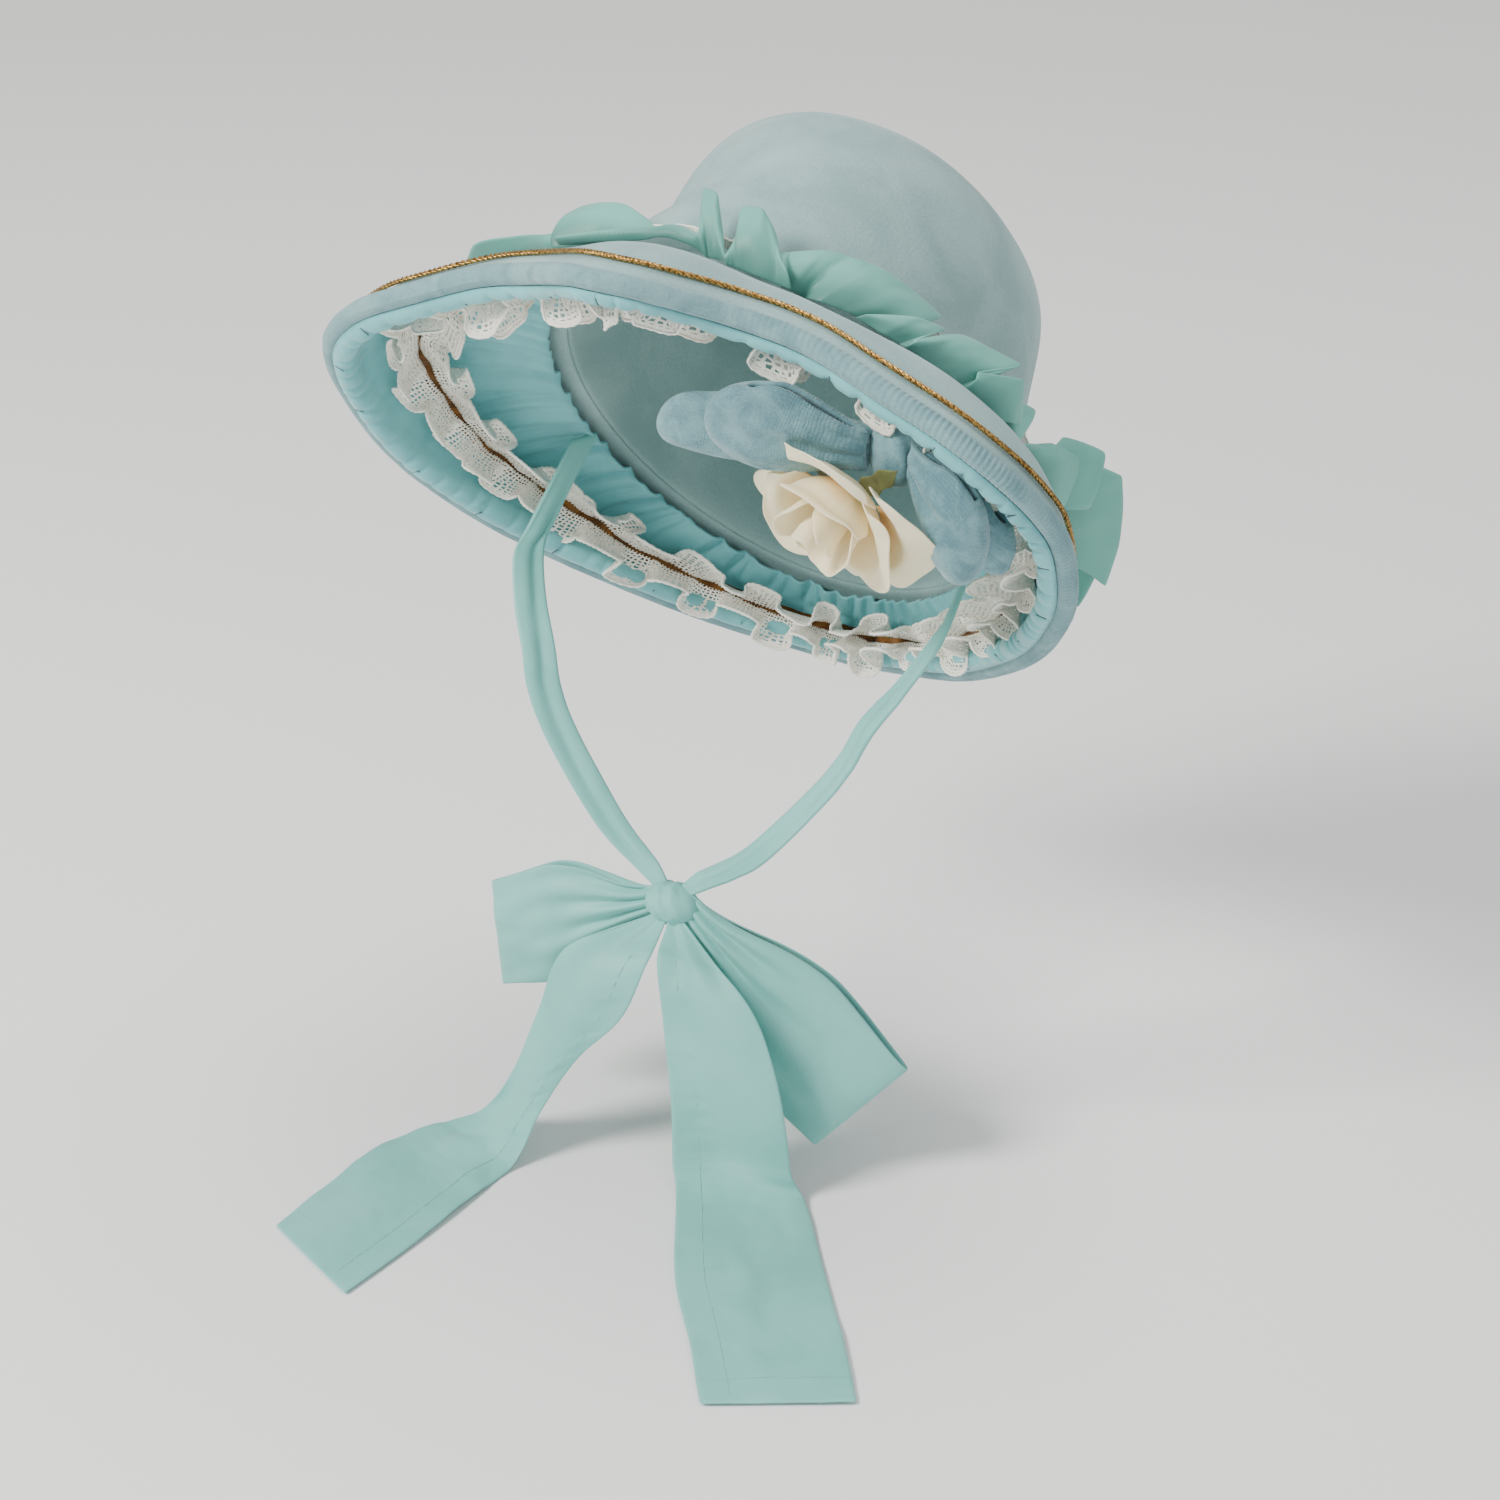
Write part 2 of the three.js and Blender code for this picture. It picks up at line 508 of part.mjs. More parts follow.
function makeBow() {
  const knot = new THREE.SphereGeometry(BOW_KNOT_SIZE / 2, 12, 8);
  knot.scale(BOW_KNOT_SHAPE.x, BOW_KNOT_SHAPE.y, BOW_KNOT_SHAPE.z);
  knot.translate(...bowMiddle());
  const start = BOW_KNOT_SIZE / 2 * BOW_KNOT_SHAPE.x * Math.sqrt(1 - (2 * BOW_LAYER / BOW_KNOT_SIZE) ** 2) + KNOT_CLEAR;
  const loops = BOW_LOOPS.map((loop) => {
    const side = Math.sign(loop.x);
    const rows = loopRows({
      start: bowMiddle().add(vec(side * start, loop.layer * BOW_LAYER, 0)),
      tip: bowMiddle().add(vec(loop.x, loop.y, loop.z).multiplyScalar(BOW_REACH)),
      opening: vec(0, -1, 0),
      open: BOW_REACH * loop.open,
      widthFrom: vec(0, 0, -1),
      widthTo: vec(-0.35, 0, -1),
      width: BOW_REACH * loop.width,
      pinch: BOW_PINCH,
      apart: BOW_RIBBON_WALL / 2 + GAP,
      across: [-1, 0, 1],
      steps: 14,
    });
    return mesh(loop.name, clothWall(rows, BOW_RIBBON_WALL), BOW_VELOUR);
  });
  return [mesh("bow_knot", knot, BOW_VELOUR), ...loops];
}

// Petals stand round a bud, each wider and lower than the one inside it. Angle and span are
// degrees round it, radius and curl are shares of the rose's radius and rise of its depth.
const ROSE_PETALS = [
  { angle: 20, span: 170, radius: 0.30, rise: 1.00, curl: 0.00 },
  { angle: 170, span: 160, radius: 0.40, rise: 0.99, curl: 0.03 },
  { angle: 300, span: 150, radius: 0.51, rise: 0.96, curl: 0.07 },
  { angle: 70, span: 138, radius: 0.62, rise: 0.90, curl: 0.13 },
  { angle: 200, span: 126, radius: 0.73, rise: 0.82, curl: 0.22 },
  { angle: 330, span: 122, radius: 0.84, rise: 0.72, curl: 0.32 },
  { angle: 100, span: 126, radius: 0.95, rise: 0.62, curl: 0.42 },
];
const PETAL_FOOT = 0.10;         // radius where the first petal starts
const PETAL_STEP = 0.056;        // and how much further out each next one starts

// Outlines of the calyx and the bud from foot to tip, radius and height
const CALYX_OUTLINE = [
  { radius: 0.10, height: 0.00 },
  { radius: 0.40, height: 0.78 },
  { radius: 0.40, height: 1.00 },
];
const BUD_OUTLINE = [
  { radius: 0.20, height: 0.00 },
  { radius: 0.62, height: 0.30 },
  { radius: 0.96, height: 0.54 },
  { radius: 1.00, height: 0.80 },
  { radius: 0.60, height: 0.96 },
];

// Sepals: direction round the rose, length and half width as shares of the rose's radius
const ROSE_SEPALS = [
  { angle: 40, length: 0.70, half: 0.15 },
  { angle: 160, length: 0.62, half: 0.15 },
  { angle: 275, length: 0.74, half: 0.15 },
];
const SEPAL_FOOT = 0.43;         // where a sepal leaves the calyx, share of the rose's radius

function turned(outline, radius, height, base, sides) {
  const side = outline.map((row) => new THREE.Vector2(radius * row.radius, base + height * row.height));
  const foot = new THREE.Vector2(0, side[0].y);
  const tip = new THREE.Vector2(0, side[side.length - 1].y);
  return new THREE.LatheGeometry([foot, ...side, tip], sides).rotateX(Math.PI / 2);
}

function rosePetal(petal, order) {
  const radius = ROSE_DIAMETER / 2;
  const foot = (PETAL_FOOT + PETAL_STEP * order) * radius;
  const base = ROSE_FLOOR + GAP + PETAL_WALL / 2;
  return [-1, -0.7, -0.35, 0, 0.35, 0.7, 1].map((t) => {
    const angle = (petal.angle + petal.span / 2 * t) * DEG;
    const rim = 1 - 0.18 * t * t;
    return [0, 0.35, 0.7, 1].map((h) => {
      const r = mix(foot, petal.radius * radius, Math.sin(h * Math.PI / 2)) + petal.curl * radius * h ** 4;
      return vec(r * Math.cos(angle), r * Math.sin(angle), base + (ROSE_DEPTH - ROSE_FLOOR) * petal.rise * rim * h);
    });
  });
}

function roseSepal(sepal) {
  const radius = ROSE_DIAMETER / 2;
  const out = vec(Math.cos(sepal.angle * DEG), Math.sin(sepal.angle * DEG), 0);
  const beside = vec(-out.y, out.x, 0);
  return [0, 0.35, 0.7, 1].map((t) => {
    const middle = out.clone().multiplyScalar(radius * (SEPAL_FOOT + sepal.length * t));
    middle.z = ROSE_FLOOR * mix(0.80, -0.1, t);
    const half = sepal.half * radius * Math.sin(Math.PI * mix(0.25, 0.93, t));
    return [-1, 0, 1].map((s) => middle.clone().addScaledVector(beside, s * half));
  });
}

function makeRose() {
  const dip = ROSE_DIP * DEG;
  const turn = ROSE_TURN * DEG;
  const facing = vec(-Math.sin(turn) * Math.cos(dip), -Math.cos(turn) * Math.cos(dip), -Math.sin(dip));
  const base = bowMiddle().add(vec(-ROSE_BESIDE, 0, -ROSE_BELOW));
  const side = vec(1, 0, 0).addScaledVector(facing, -facing.x).normalize();
  const place = new THREE.Matrix4().makeBasis(side, facing.clone().cross(side), facing).setPosition(base);
  const calyx = turned(CALYX_OUTLINE, ROSE_DIAMETER / 2, ROSE_FLOOR, 0, 14);
  const bud = turned(BUD_OUTLINE, BUD_DIAMETER / 2, 0.8 * (ROSE_DEPTH - ROSE_FLOOR), ROSE_FLOOR + GAP, 12);
  const sheets = [
    ...ROSE_PETALS.map((petal, k) => [`rose_petal_${k + 1}`, rosePetal(petal, k), ROSE_CLOTH]),
    ...ROSE_SEPALS.map((sepal, k) => [`rose_sepal_${k + 1}`, roseSepal(sepal), LEAF]),
  ];
  const stemTop = bowMiddle().add(vec(0, 0, -BOW_KNOT_SIZE / 2 * BOW_KNOT_SHAPE.z - 2 * GAP));
  const stemFoot = base.clone().addScaledVector(facing, -STEM_DIAMETER / 2 - GAP);
  const bend = stemTop.clone().lerp(stemFoot, 0.5).addScaledVector(facing, -STEM_DIAMETER);
  const stemPath = new THREE.QuadraticBezierCurve3(stemTop, bend, stemFoot).getPoints(5);
  const stem = roll(stemPath, stemPath.map(() => vec(0, 1, 0)), STEM_DIAMETER / 2, 6, false);
  return [
    mesh("rose_stem", stem, LEAF),
    mesh("rose_calyx", calyx.applyMatrix4(place), LEAF),
    mesh("rose_bud", bud.applyMatrix4(place), ROSE_CLOTH),
    ...sheets.map(([name, rows, color]) => (
      mesh(name, clothWall(rows.map((row) => row.map((q) => q.applyMatrix4(place))), PETAL_WALL), color)
    )),
  ];
}

const TIE_REST = 0.43;           // height at which a tie rests over the knot's shoulder, share of the knot's

// Chin ties, in the hollow's frame: across and forward from the hollow's middle, and down,
// as shares of the knot's own drop; turn is the direction of the folded ribbon's width
const TIE_ROUTE = [
  { across: 0.73, forward: 0.08, down: 0.02, turn: 70 },
  { across: 0.72, forward: 0.18, down: 0.09, turn: 65 },
  { across: 0.66, forward: 0.27, down: 0.21, turn: 58 },
  { across: 0.59, forward: 0.34, down: 0.32, turn: 50 },
  { across: 0.54, forward: 0.385, down: 0.44, turn: 44 },
  { across: 0.455, forward: 0.42, down: 0.565, turn: 36 },
  { across: 0.28, forward: 0.455, down: 0.775, turn: 24 },
  { across: 0.17, forward: 0.48, down: 0.86, turn: 14 },
];

// Rows of a ribbon along a route of middles, each with its width's direction and share
function ribbonRows(route, width) {
  return route.map(({ middle, side, share, lift = 0 }) => [-1, -0.33, 0.33, 1].map((t) => (
    middle.clone().addScaledVector(side, t * share * width / 2)
      .add(vec(0, 0, lift * width * Math.cos(t * Math.PI * 2)))
  )));
}

const heading = (turn, rise = 0) => vec(
  Math.cos(turn * DEG) * Math.cos(rise * DEG),
  Math.sin(turn * DEG) * Math.cos(rise * DEG),
  Math.sin(rise * DEG),
);

function makeTie(name, sideSign) {
  const top = brimPoint(sideSign * TIE_ANGLE, TIE_PART, -(LINING_DEPTH + SETTLE + TIE_WALL / 2));
  const start = top.applyMatrix4(crownPlace);
  const route = [{ middle: start, turn: TIE_ROUTE[0].turn }];
  for (const row of TIE_ROUTE) {
    route.push({
      middle: vec(sideSign * row.across * CHIN_DROP, -row.forward * CHIN_DROP, -row.down * CHIN_DROP),
      turn: row.turn,
    });
  }
  const end = vec(sideSign * (TIE_WIDTH / 2 + GAP), KNOT_DEPTH * 0.1, KNOT_HEIGHT * TIE_REST + TIE_WALL / 2 + GAP);
  route.push({ middle: chinKnot().add(end), turn: 5 });
  const rows = route.map(({ middle, turn }) => [-1, 0, 1].map((t) => {
    const side = heading(turn);
    side.x *= -sideSign;
    return middle.clone().addScaledVector(side, t * TIE_WIDTH / 2);
  }));
  if (sideSign > 0) rows.forEach((row) => row.reverse());
  return mesh(name, clothWall(rows, TIE_WALL), CHIFFON, 0.5);
}

const chinKnot = () => vec(0, -KNOT_FORWARD, -CHIN_DROP);

// Loops of the chin bow: tip from the knot and width as shares of the ribbon's width
const CHIN_LOOPS = [
  {
    name: "chin_loop_left", tip: vec(-1.30, -0.18, -0.48), opening: vec(-0.15, -1, 0.1), open: 0.14,
    widthFrom: vec(0, 0, -1), widthTo: vec(0.05, 0.05, -1), width: 0.92, steps: 16,
  },
  {
    name: "chin_loop_right", tip: vec(1.42, 0.12, -1.24), opening: vec(0.29, -0.92, 0.25), open: 0.17,
    widthFrom: vec(-0.2, -0.2, -1), widthTo: vec(-0.62, -0.36, -0.68), width: 0.96, steps: 20,
  },
];

function makeChinLoop(loop) {
  const side = Math.sign(loop.tip.x);
  const rows = loopRows({
    start: chinKnot().add(vec(side * (KNOT_WIDTH / 2 + GAP), 0, 0)),
    tip: chinKnot().addScaledVector(loop.tip, RIBBON_WIDTH),
    opening: loop.opening.clone().normalize(),
    open: RIBBON_WIDTH * loop.open,
    widthFrom: loop.widthFrom.clone().normalize(),
    widthTo: loop.widthTo.clone().normalize(),
    width: RIBBON_WIDTH * loop.width,
    pinch: 0.26,
    apart: RIBBON_WALL / 2 + GAP,
    across: [-1, -0.33, 0.33, 1],
    steps: loop.steps,
  });
  return mesh(loop.name, clothWall(rows, RIBBON_WALL), CHIFFON, 0.5);
}

// Ends of the ribbon: sideways and forward from the knot as shares of how far they lie in
// front of it, down as a share of the fall from the knot to the table; the width's share,
// its turn in plan and its rise
const TAIL_LEFT = [
  { side: -0.04, forward: 0.030, down: 0.085, width: 0.20, turn: 0, rise: 0 },
  { side: -0.125, forward: 0.13, down: 0.20, width: 0.70, turn: -6, rise: 6 },
  { side: -0.17, forward: 0.19, down: 0.43, width: 0.68, turn: 0, rise: 10 },
  { side: -0.25, forward: 0.23, down: 0.66, width: 0.62, turn: 0, rise: 26 },
  { side: -0.33, forward: 0.25, down: 0.87, width: 0.62, turn: -10, rise: 20 },
  { side: -0.39, forward: 0.32, down: 1.00, width: 0.80, turn: -22, rise: 0 },
  { side: -0.43, forward: 0.49, down: 1.00, width: 0.95, turn: -15, rise: 0 },
  { side: -0.44, forward: 0.72, down: 1.00, width: 1.00, turn: -20, rise: 0 },
  { side: -0.45, forward: 0.98, down: 1.00, width: 1.00, turn: -28, rise: 0 },
];
const TAIL_RIGHT = [
  { side: 0.04, forward: 0.030, down: 0.085, width: 0.20, turn: 0, rise: 0 },
  { side: 0.155, forward: 0.12, down: 0.20, width: 0.70, turn: 5, rise: -8 },
  { side: 0.22, forward: 0.15, down: 0.46, width: 0.85, turn: 5, rise: 0 },
  { side: 0.26, forward: 0.16, down: 0.71, width: 0.85, turn: 12, rise: 0 },
  { side: 0.28, forward: 0.17, down: 0.91, width: 0.85, turn: 18, rise: 0 },
  { side: 0.34, forward: 0.24, down: 1.00, width: 0.90, turn: 25, rise: 0 },
  { side: 0.52, forward: 0.51, down: 1.00, width: 1.00, turn: 32, rise: 0 },
  { side: 0.69, forward: 0.73, down: 1.00, width: 1.00, turn: 33, rise: 0 },
  { side: 0.85, forward: 0.95, down: 1.00, width: 1.00, turn: 31, rise: 0 },
];

function makeTail(name, table) {
  const knot = chinKnot();
  const fall = TABLE_DROP - CHIN_DROP - RIBBON_WALL / 2;
  const numbered = table.map((row, i) => ({ ...row, step: i }));
  const steps = (table.length - 1) * 3;
  const route = Array.from({ length: steps + 1 }, (_, i) => {
    const read = (name) => column(numbered, "step", name, i / 3);
    return {
      middle: knot.clone().add(vec(TAIL_REACH * read("side"), -TAIL_REACH * read("forward"), -fall * Math.min(1, read("down")))),
      side: heading(read("turn"), read("rise")),
      share: read("width"),
    };
  });
  return mesh(name, clothWall(ribbonRows(route, RIBBON_WIDTH), RIBBON_WALL), CHIFFON, 0.5);
}

function makeChinKnot() {
  const shape = new THREE.SphereGeometry(KNOT_WIDTH / 2, 14, 10);
  shape.scale(1, KNOT_DEPTH / KNOT_WIDTH, KNOT_HEIGHT / KNOT_WIDTH);
  const knot = mesh("chin_knot", shape, CHIFFON, 0.5);
  knot.position.copy(chinKnot());
  return knot;
}

// Highest point inside the crown, where it sits on what carries it
function crownSeat() {
  let seat = vec(0, 0, -Infinity);
  for (let height = 0; height <= 1; height += 0.01) {
    const inside = crownPoint(0, height).applyMatrix4(crownPlace);
    if (inside.z > seat.z) seat = inside;
  }
  seat.z -= VELOUR_WALL / 2;
  return seat;
}

const crownGroup = new THREE.Group();
crownGroup.add(makeCrown(), makeBrim(), makeEdgeRoll(), makeGoldCord(), makeLining(), makeRuffle());
crownGroup.add(makeOuterLace(), makeInnerRibbon());
crownGroup.add(laceRow("inner_lace_outer", 1, 2));
crownGroup.add(laceRow("inner_lace_inner", -1, 14));
crownGroup.rotation.x = -CROWN_TILT * DEG;
crownGroup.position.set(0, JOIN_BACK, JOIN_UP);

const bonnet = new THREE.Group();
bonnet.add(crownGroup, ...makeBow(), ...makeRose(), makeTie("tie_left", -1), makeTie("tie_right", 1), makeChinKnot());
bonnet.add(...CHIN_LOOPS.map(makeChinLoop));
bonnet.add(makeTail("tail_left", TAIL_LEFT), makeTail("tail_right", TAIL_RIGHT));
bonnet.position.copy(crownSeat()).negate();
bonnet.updateMatrixWorld(true);

export default bonnet;
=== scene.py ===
"""Looks of a velour poke bonnet, worn: crown, brim, ruffle, lace, bow, rose and chin ribbon."""

import logging
import math
import random
from dataclasses import dataclass, field
from enum import Enum
from typing import Callable, NamedTuple, Sequence

import bmesh
import bpy
from mathutils import Matrix, Vector, noise


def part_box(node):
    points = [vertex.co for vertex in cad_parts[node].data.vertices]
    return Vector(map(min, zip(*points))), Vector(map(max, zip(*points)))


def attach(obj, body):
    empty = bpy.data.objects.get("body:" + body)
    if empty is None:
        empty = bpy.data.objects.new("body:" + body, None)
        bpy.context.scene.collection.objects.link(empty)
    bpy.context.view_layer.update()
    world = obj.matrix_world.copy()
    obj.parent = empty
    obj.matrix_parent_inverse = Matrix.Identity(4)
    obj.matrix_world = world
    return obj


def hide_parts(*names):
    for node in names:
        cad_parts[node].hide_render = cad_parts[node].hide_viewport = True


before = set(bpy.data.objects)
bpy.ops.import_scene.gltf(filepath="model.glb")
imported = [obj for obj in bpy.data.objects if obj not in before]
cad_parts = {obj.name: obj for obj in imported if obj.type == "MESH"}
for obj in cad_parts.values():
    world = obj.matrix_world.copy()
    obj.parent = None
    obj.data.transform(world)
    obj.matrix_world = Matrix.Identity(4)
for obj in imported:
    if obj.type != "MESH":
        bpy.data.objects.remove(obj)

LOG = logging.getLogger("bonnet")
MM = 0.001
TAU = 2 * math.pi
LEAST_FLAT = 0.0101   # narrowest cut that a declared cloth may have, in metres
WAVE_REPEAT = math.pi   # a wave texture of scale one repeats about this many times in a metre
BODY = "root"
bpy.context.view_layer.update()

Place = Callable[[float, float], Vector]


def linear(colour: str) -> tuple[float, float, float, float]:
    """Turn an sRGB hex colour into linear values.

    Args:
        colour: Six hex digits after a hash sign.

    Returns:
        Linear red, green, blue and an alpha of one.
    """
    parts = [int(colour[i:i + 2], 16) / 255 for i in (1, 3, 5)]
    low, slope, offset, power = 0.04045, 12.92, 0.055, 2.4
    red, green, blue = (p / slope if p <= low else ((p + offset) / (1 + offset)) ** power for p in parts)
    return (red, green, blue, 1.0)


def mix(a: float, b: float, t: float) -> float:
    """Value a share t of the way from a to b."""
    return a + (b - a) * t


def ease(t: float) -> float:
    """Smooth step from nought to one, flat at both ends."""
    t = min(max(t, 0.0), 1.0)
    return t * t * (3 - 2 * t)


def read(table: Sequence[NamedTuple], key: str, name: str, at: float) -> float:
    """Read one named column of a table by a smooth curve through its rows.

    Args:
        table: Rows with rising keys.
        key: Name of the key column.
        name: Name of the column to read.
        at: Key to read it at.

    Returns:
        The column's value there.
    """
    last = len(table) - 1
    i = 0
    while i < last - 1 and at > getattr(table[i + 1], key):
        i += 1
    rows = [table[min(max(k, 0), last)] for k in (i - 1, i, i + 1, i + 2)]
    keys = [getattr(row, key) for row in rows]
    values = [getattr(row, name) for row in rows]
    span = keys[2] - keys[1]
    t = min(max((at - keys[1]) / span, 0.0), 1.0)

    def slope(a: int, b: int) -> float:
        """Slope of the column between two of the four rows, over the middle span."""
        return 0.0 if keys[b] == keys[a] else (values[b] - values[a]) / (keys[b] - keys[a]) * span

    t2, t3 = t * t, t ** 3
    return ((2 * t3 - 3 * t2 + 1) * values[1] + (t3 - 2 * t2 + t) * slope(0, 2)
            + (3 * t2 - 2 * t3) * values[2] + (t3 - t2) * slope(1, 3))


def wander(x: float, y: float, z: float = 0.0, octaves: int = 2) -> float:
    """Soft undulation between about -1 and 1, the same on each run."""
    return noise.fractal(Vector((x, y, z)), 0.7, 2.1, octaves)


def turned(angle: float) -> float:
    """Angle in degrees, brought between -180 and 180."""
    return (angle + 540) % 360 - 180


def run_length(point: Callable[[float], Vector], steps: int = 40) -> float:
    """Length in metres of a line whose points are given by their share of it."""
    line = [point(i / steps) for i in range(steps + 1)]
    return sum((b - a).length for a, b in zip(line, line[1:]))


# Finishes

def add_node(tree: bpy.types.NodeTree, kind: str, inputs: dict | None = None, **settings) -> bpy.types.Node:
    """Add a node with its settings, constants and links.

    Args:
        tree: Node tree of the material or the world.
        kind: Blender's name of the node type.
        inputs: Socket name or number to a constant or to the socket that feeds it.
        settings: The node's own properties.

    Returns:
        The new node.
    """
    node = tree.nodes.new(kind)
    for name, value in settings.items():
        setattr(node, name, value)
    for name, value in (inputs or {}).items():
        if isinstance(value, bpy.types.NodeSocket):
            tree.links.new(value, node.inputs[name])
        else:
            node.inputs[name].default_value = value
    return node


class Coordinates(Enum):
    """What a pattern follows: the object's own space, or the cloth's threads."""

    OBJECT = "Object"
    THREADS = "UV"


@dataclass(frozen=True)
class Finish:
    """Base of a cloth finish, with the nodes that all cloths share."""

    name: str
    light: str
    dark: str

    def start(self) -> tuple[bpy.types.Material, bpy.types.NodeTree, bpy.types.Node, bpy.types.Node]:
        """Make the material with its shader.

        Returns:
            The material, its tree, its coordinates and its Principled shader.
        """
        material = bpy.data.materials.new(self.name)
        material.use_nodes = True
        tree = material.node_tree
        tree.nodes.clear()
        where = add_node(tree, "ShaderNodeTexCoord")
        shader = add_node(tree, "ShaderNodeBsdfPrincipled")
        add_node(tree, "ShaderNodeOutputMaterial", {"Surface": shader.outputs[0]})
        return material, tree, where, shader

    def cloud(self, tree: bpy.types.NodeTree, where: bpy.types.NodeSocket, size_mm: float,
              detail: float = 3.0, distortion: float = 0.0) -> bpy.types.NodeSocket:
        """Soft noise with patches of a real size.

        Args:
            tree: Node tree of the material.
            where: Coordinates in metres.
            size_mm: Size of one patch.
            detail: Octaves of the noise.
            distortion: How much the patches are drawn out.

        Returns:
            Socket with the noise.
        """
        made = add_node(tree, "ShaderNodeTexNoise", {
            "Vector": where, "Scale": 1 / (size_mm * MM), "Detail": detail, "Distortion": distortion})
        return made.outputs["Fac"]

    def tones(self, tree: bpy.types.NodeTree, factor: bpy.types.NodeSocket, dark: str, light: str,
              low: float, high: float) -> bpy.types.NodeSocket:
        """Colour that turns from dark to light as a factor rises from low to high.

        Args:
            tree: Node tree of the material.
            factor: Socket that sets the tone.
            dark: Darker colour, as sRGB hex.
            light: Lighter colour, as sRGB hex.
            low: Factor below which the dark colour stands.
            high: Factor above which the light colour stands.

        Returns:
            Socket with the colour.
        """
        ramp = add_node(tree, "ShaderNodeValToRGB", {"Fac": factor})
        ramp.color_ramp.elements[0].position = low
        ramp.color_ramp.elements[0].color = linear(dark)
        ramp.color_ramp.elements[1].position = high
        ramp.color_ramp.elements[1].color = linear(light)
        return ramp.outputs["Color"]

    def weave(self, tree: bpy.types.NodeTree, where: bpy.types.NodeSocket, spacing_mm: float) -> bpy.types.NodeSocket:
        """Height of a plain weave with a real thread spacing.

        Args:
            tree: Node tree of the material.
            where: The cloth's own coordinates in metres.
            spacing_mm: Distance from thread to thread.

        Returns:
            Socket with the height, from nought to one.
        """
        waves = [add_node(tree, "ShaderNodeTexWave", {
            "Vector": where, "Scale": 1 / (spacing_mm * MM * WAVE_REPEAT), "Distortion": 0.6, "Detail": 1.0},
            bands_direction=axis) for axis in ("X", "Y")]
        both = add_node(tree, "ShaderNodeMath", {
            0: waves[0].outputs["Fac"], 1: waves[1].outputs["Fac"]}, operation="MULTIPLY")
        return both.outputs[0]

    def relief(self, tree: bpy.types.NodeTree, height: bpy.types.NodeSocket, depth_mm: float, strength: float,
               below: bpy.types.NodeSocket | None = None) -> bpy.types.NodeSocket:
        """Bump with a real depth, on top of another one where it is given.

        Args:
            tree: Node tree of the material.
            height: Socket with the height.
            depth_mm: Depth from the lowest to the highest point.
            strength: Share of that depth that is felt.
            below: Bump that this one lies on.

        Returns:
            Socket with the bumped normal.
        """
        inputs = {"Height": height, "Distance": depth_mm * MM, "Strength": strength}
        if below is not None:
            inputs["Normal"] = below
        return add_node(tree, "ShaderNodeBump", inputs).outputs["Normal"]


@dataclass(frozen=True)
class Velour(Finish):
    """Knitted polyester velour with a short brushed pile: matt, mottled where the nap turns."""

    patch_mm: float = 34.0
    grain_mm: float = 1.1
    sheen: float = 0.55
    wale_mm: float = 0.0

    def make(self) -> bpy.types.Material:
        """Build the velour's nodes."""
        material, tree, where, shader = self.start()
        place = where.outputs[Coordinates.OBJECT.value]
        brushed = self.cloud(tree, place, self.patch_mm, 4.0, 0.9)
        grain = self.cloud(tree, place, self.grain_mm, 2.0)
        nap = add_node(tree, "ShaderNodeMix", {0: 0.28, 2: brushed, 3: grain}, data_type="FLOAT")
        shade = self.tones(tree, nap.outputs[0], self.dark, self.light, 0.38, 0.62)
        tree.links.new(shade, shader.inputs["Base Color"])
        shader.inputs["Roughness"].default_value = 0.92
        shader.inputs["Specular IOR Level"].default_value = 0.25
        shader.inputs["Sheen Weight"].default_value = self.sheen
        shader.inputs["Sheen Roughness"].default_value = 0.45
        shader.inputs["Sheen Tint"].default_value = linear("#E6F1F2")
        pile = self.relief(tree, grain, 0.35, 0.55)
        if self.wale_mm:
            # Wales of the knit show through the pile; drawn at about twice their real spacing
            wales = self.weave(tree, where.outputs[Coordinates.THREADS.value], self.wale_mm)
            pile = self.relief(tree, wales, 0.3, 0.5, pile)
        tree.links.new(pile, shader.inputs["Normal"])
        return material


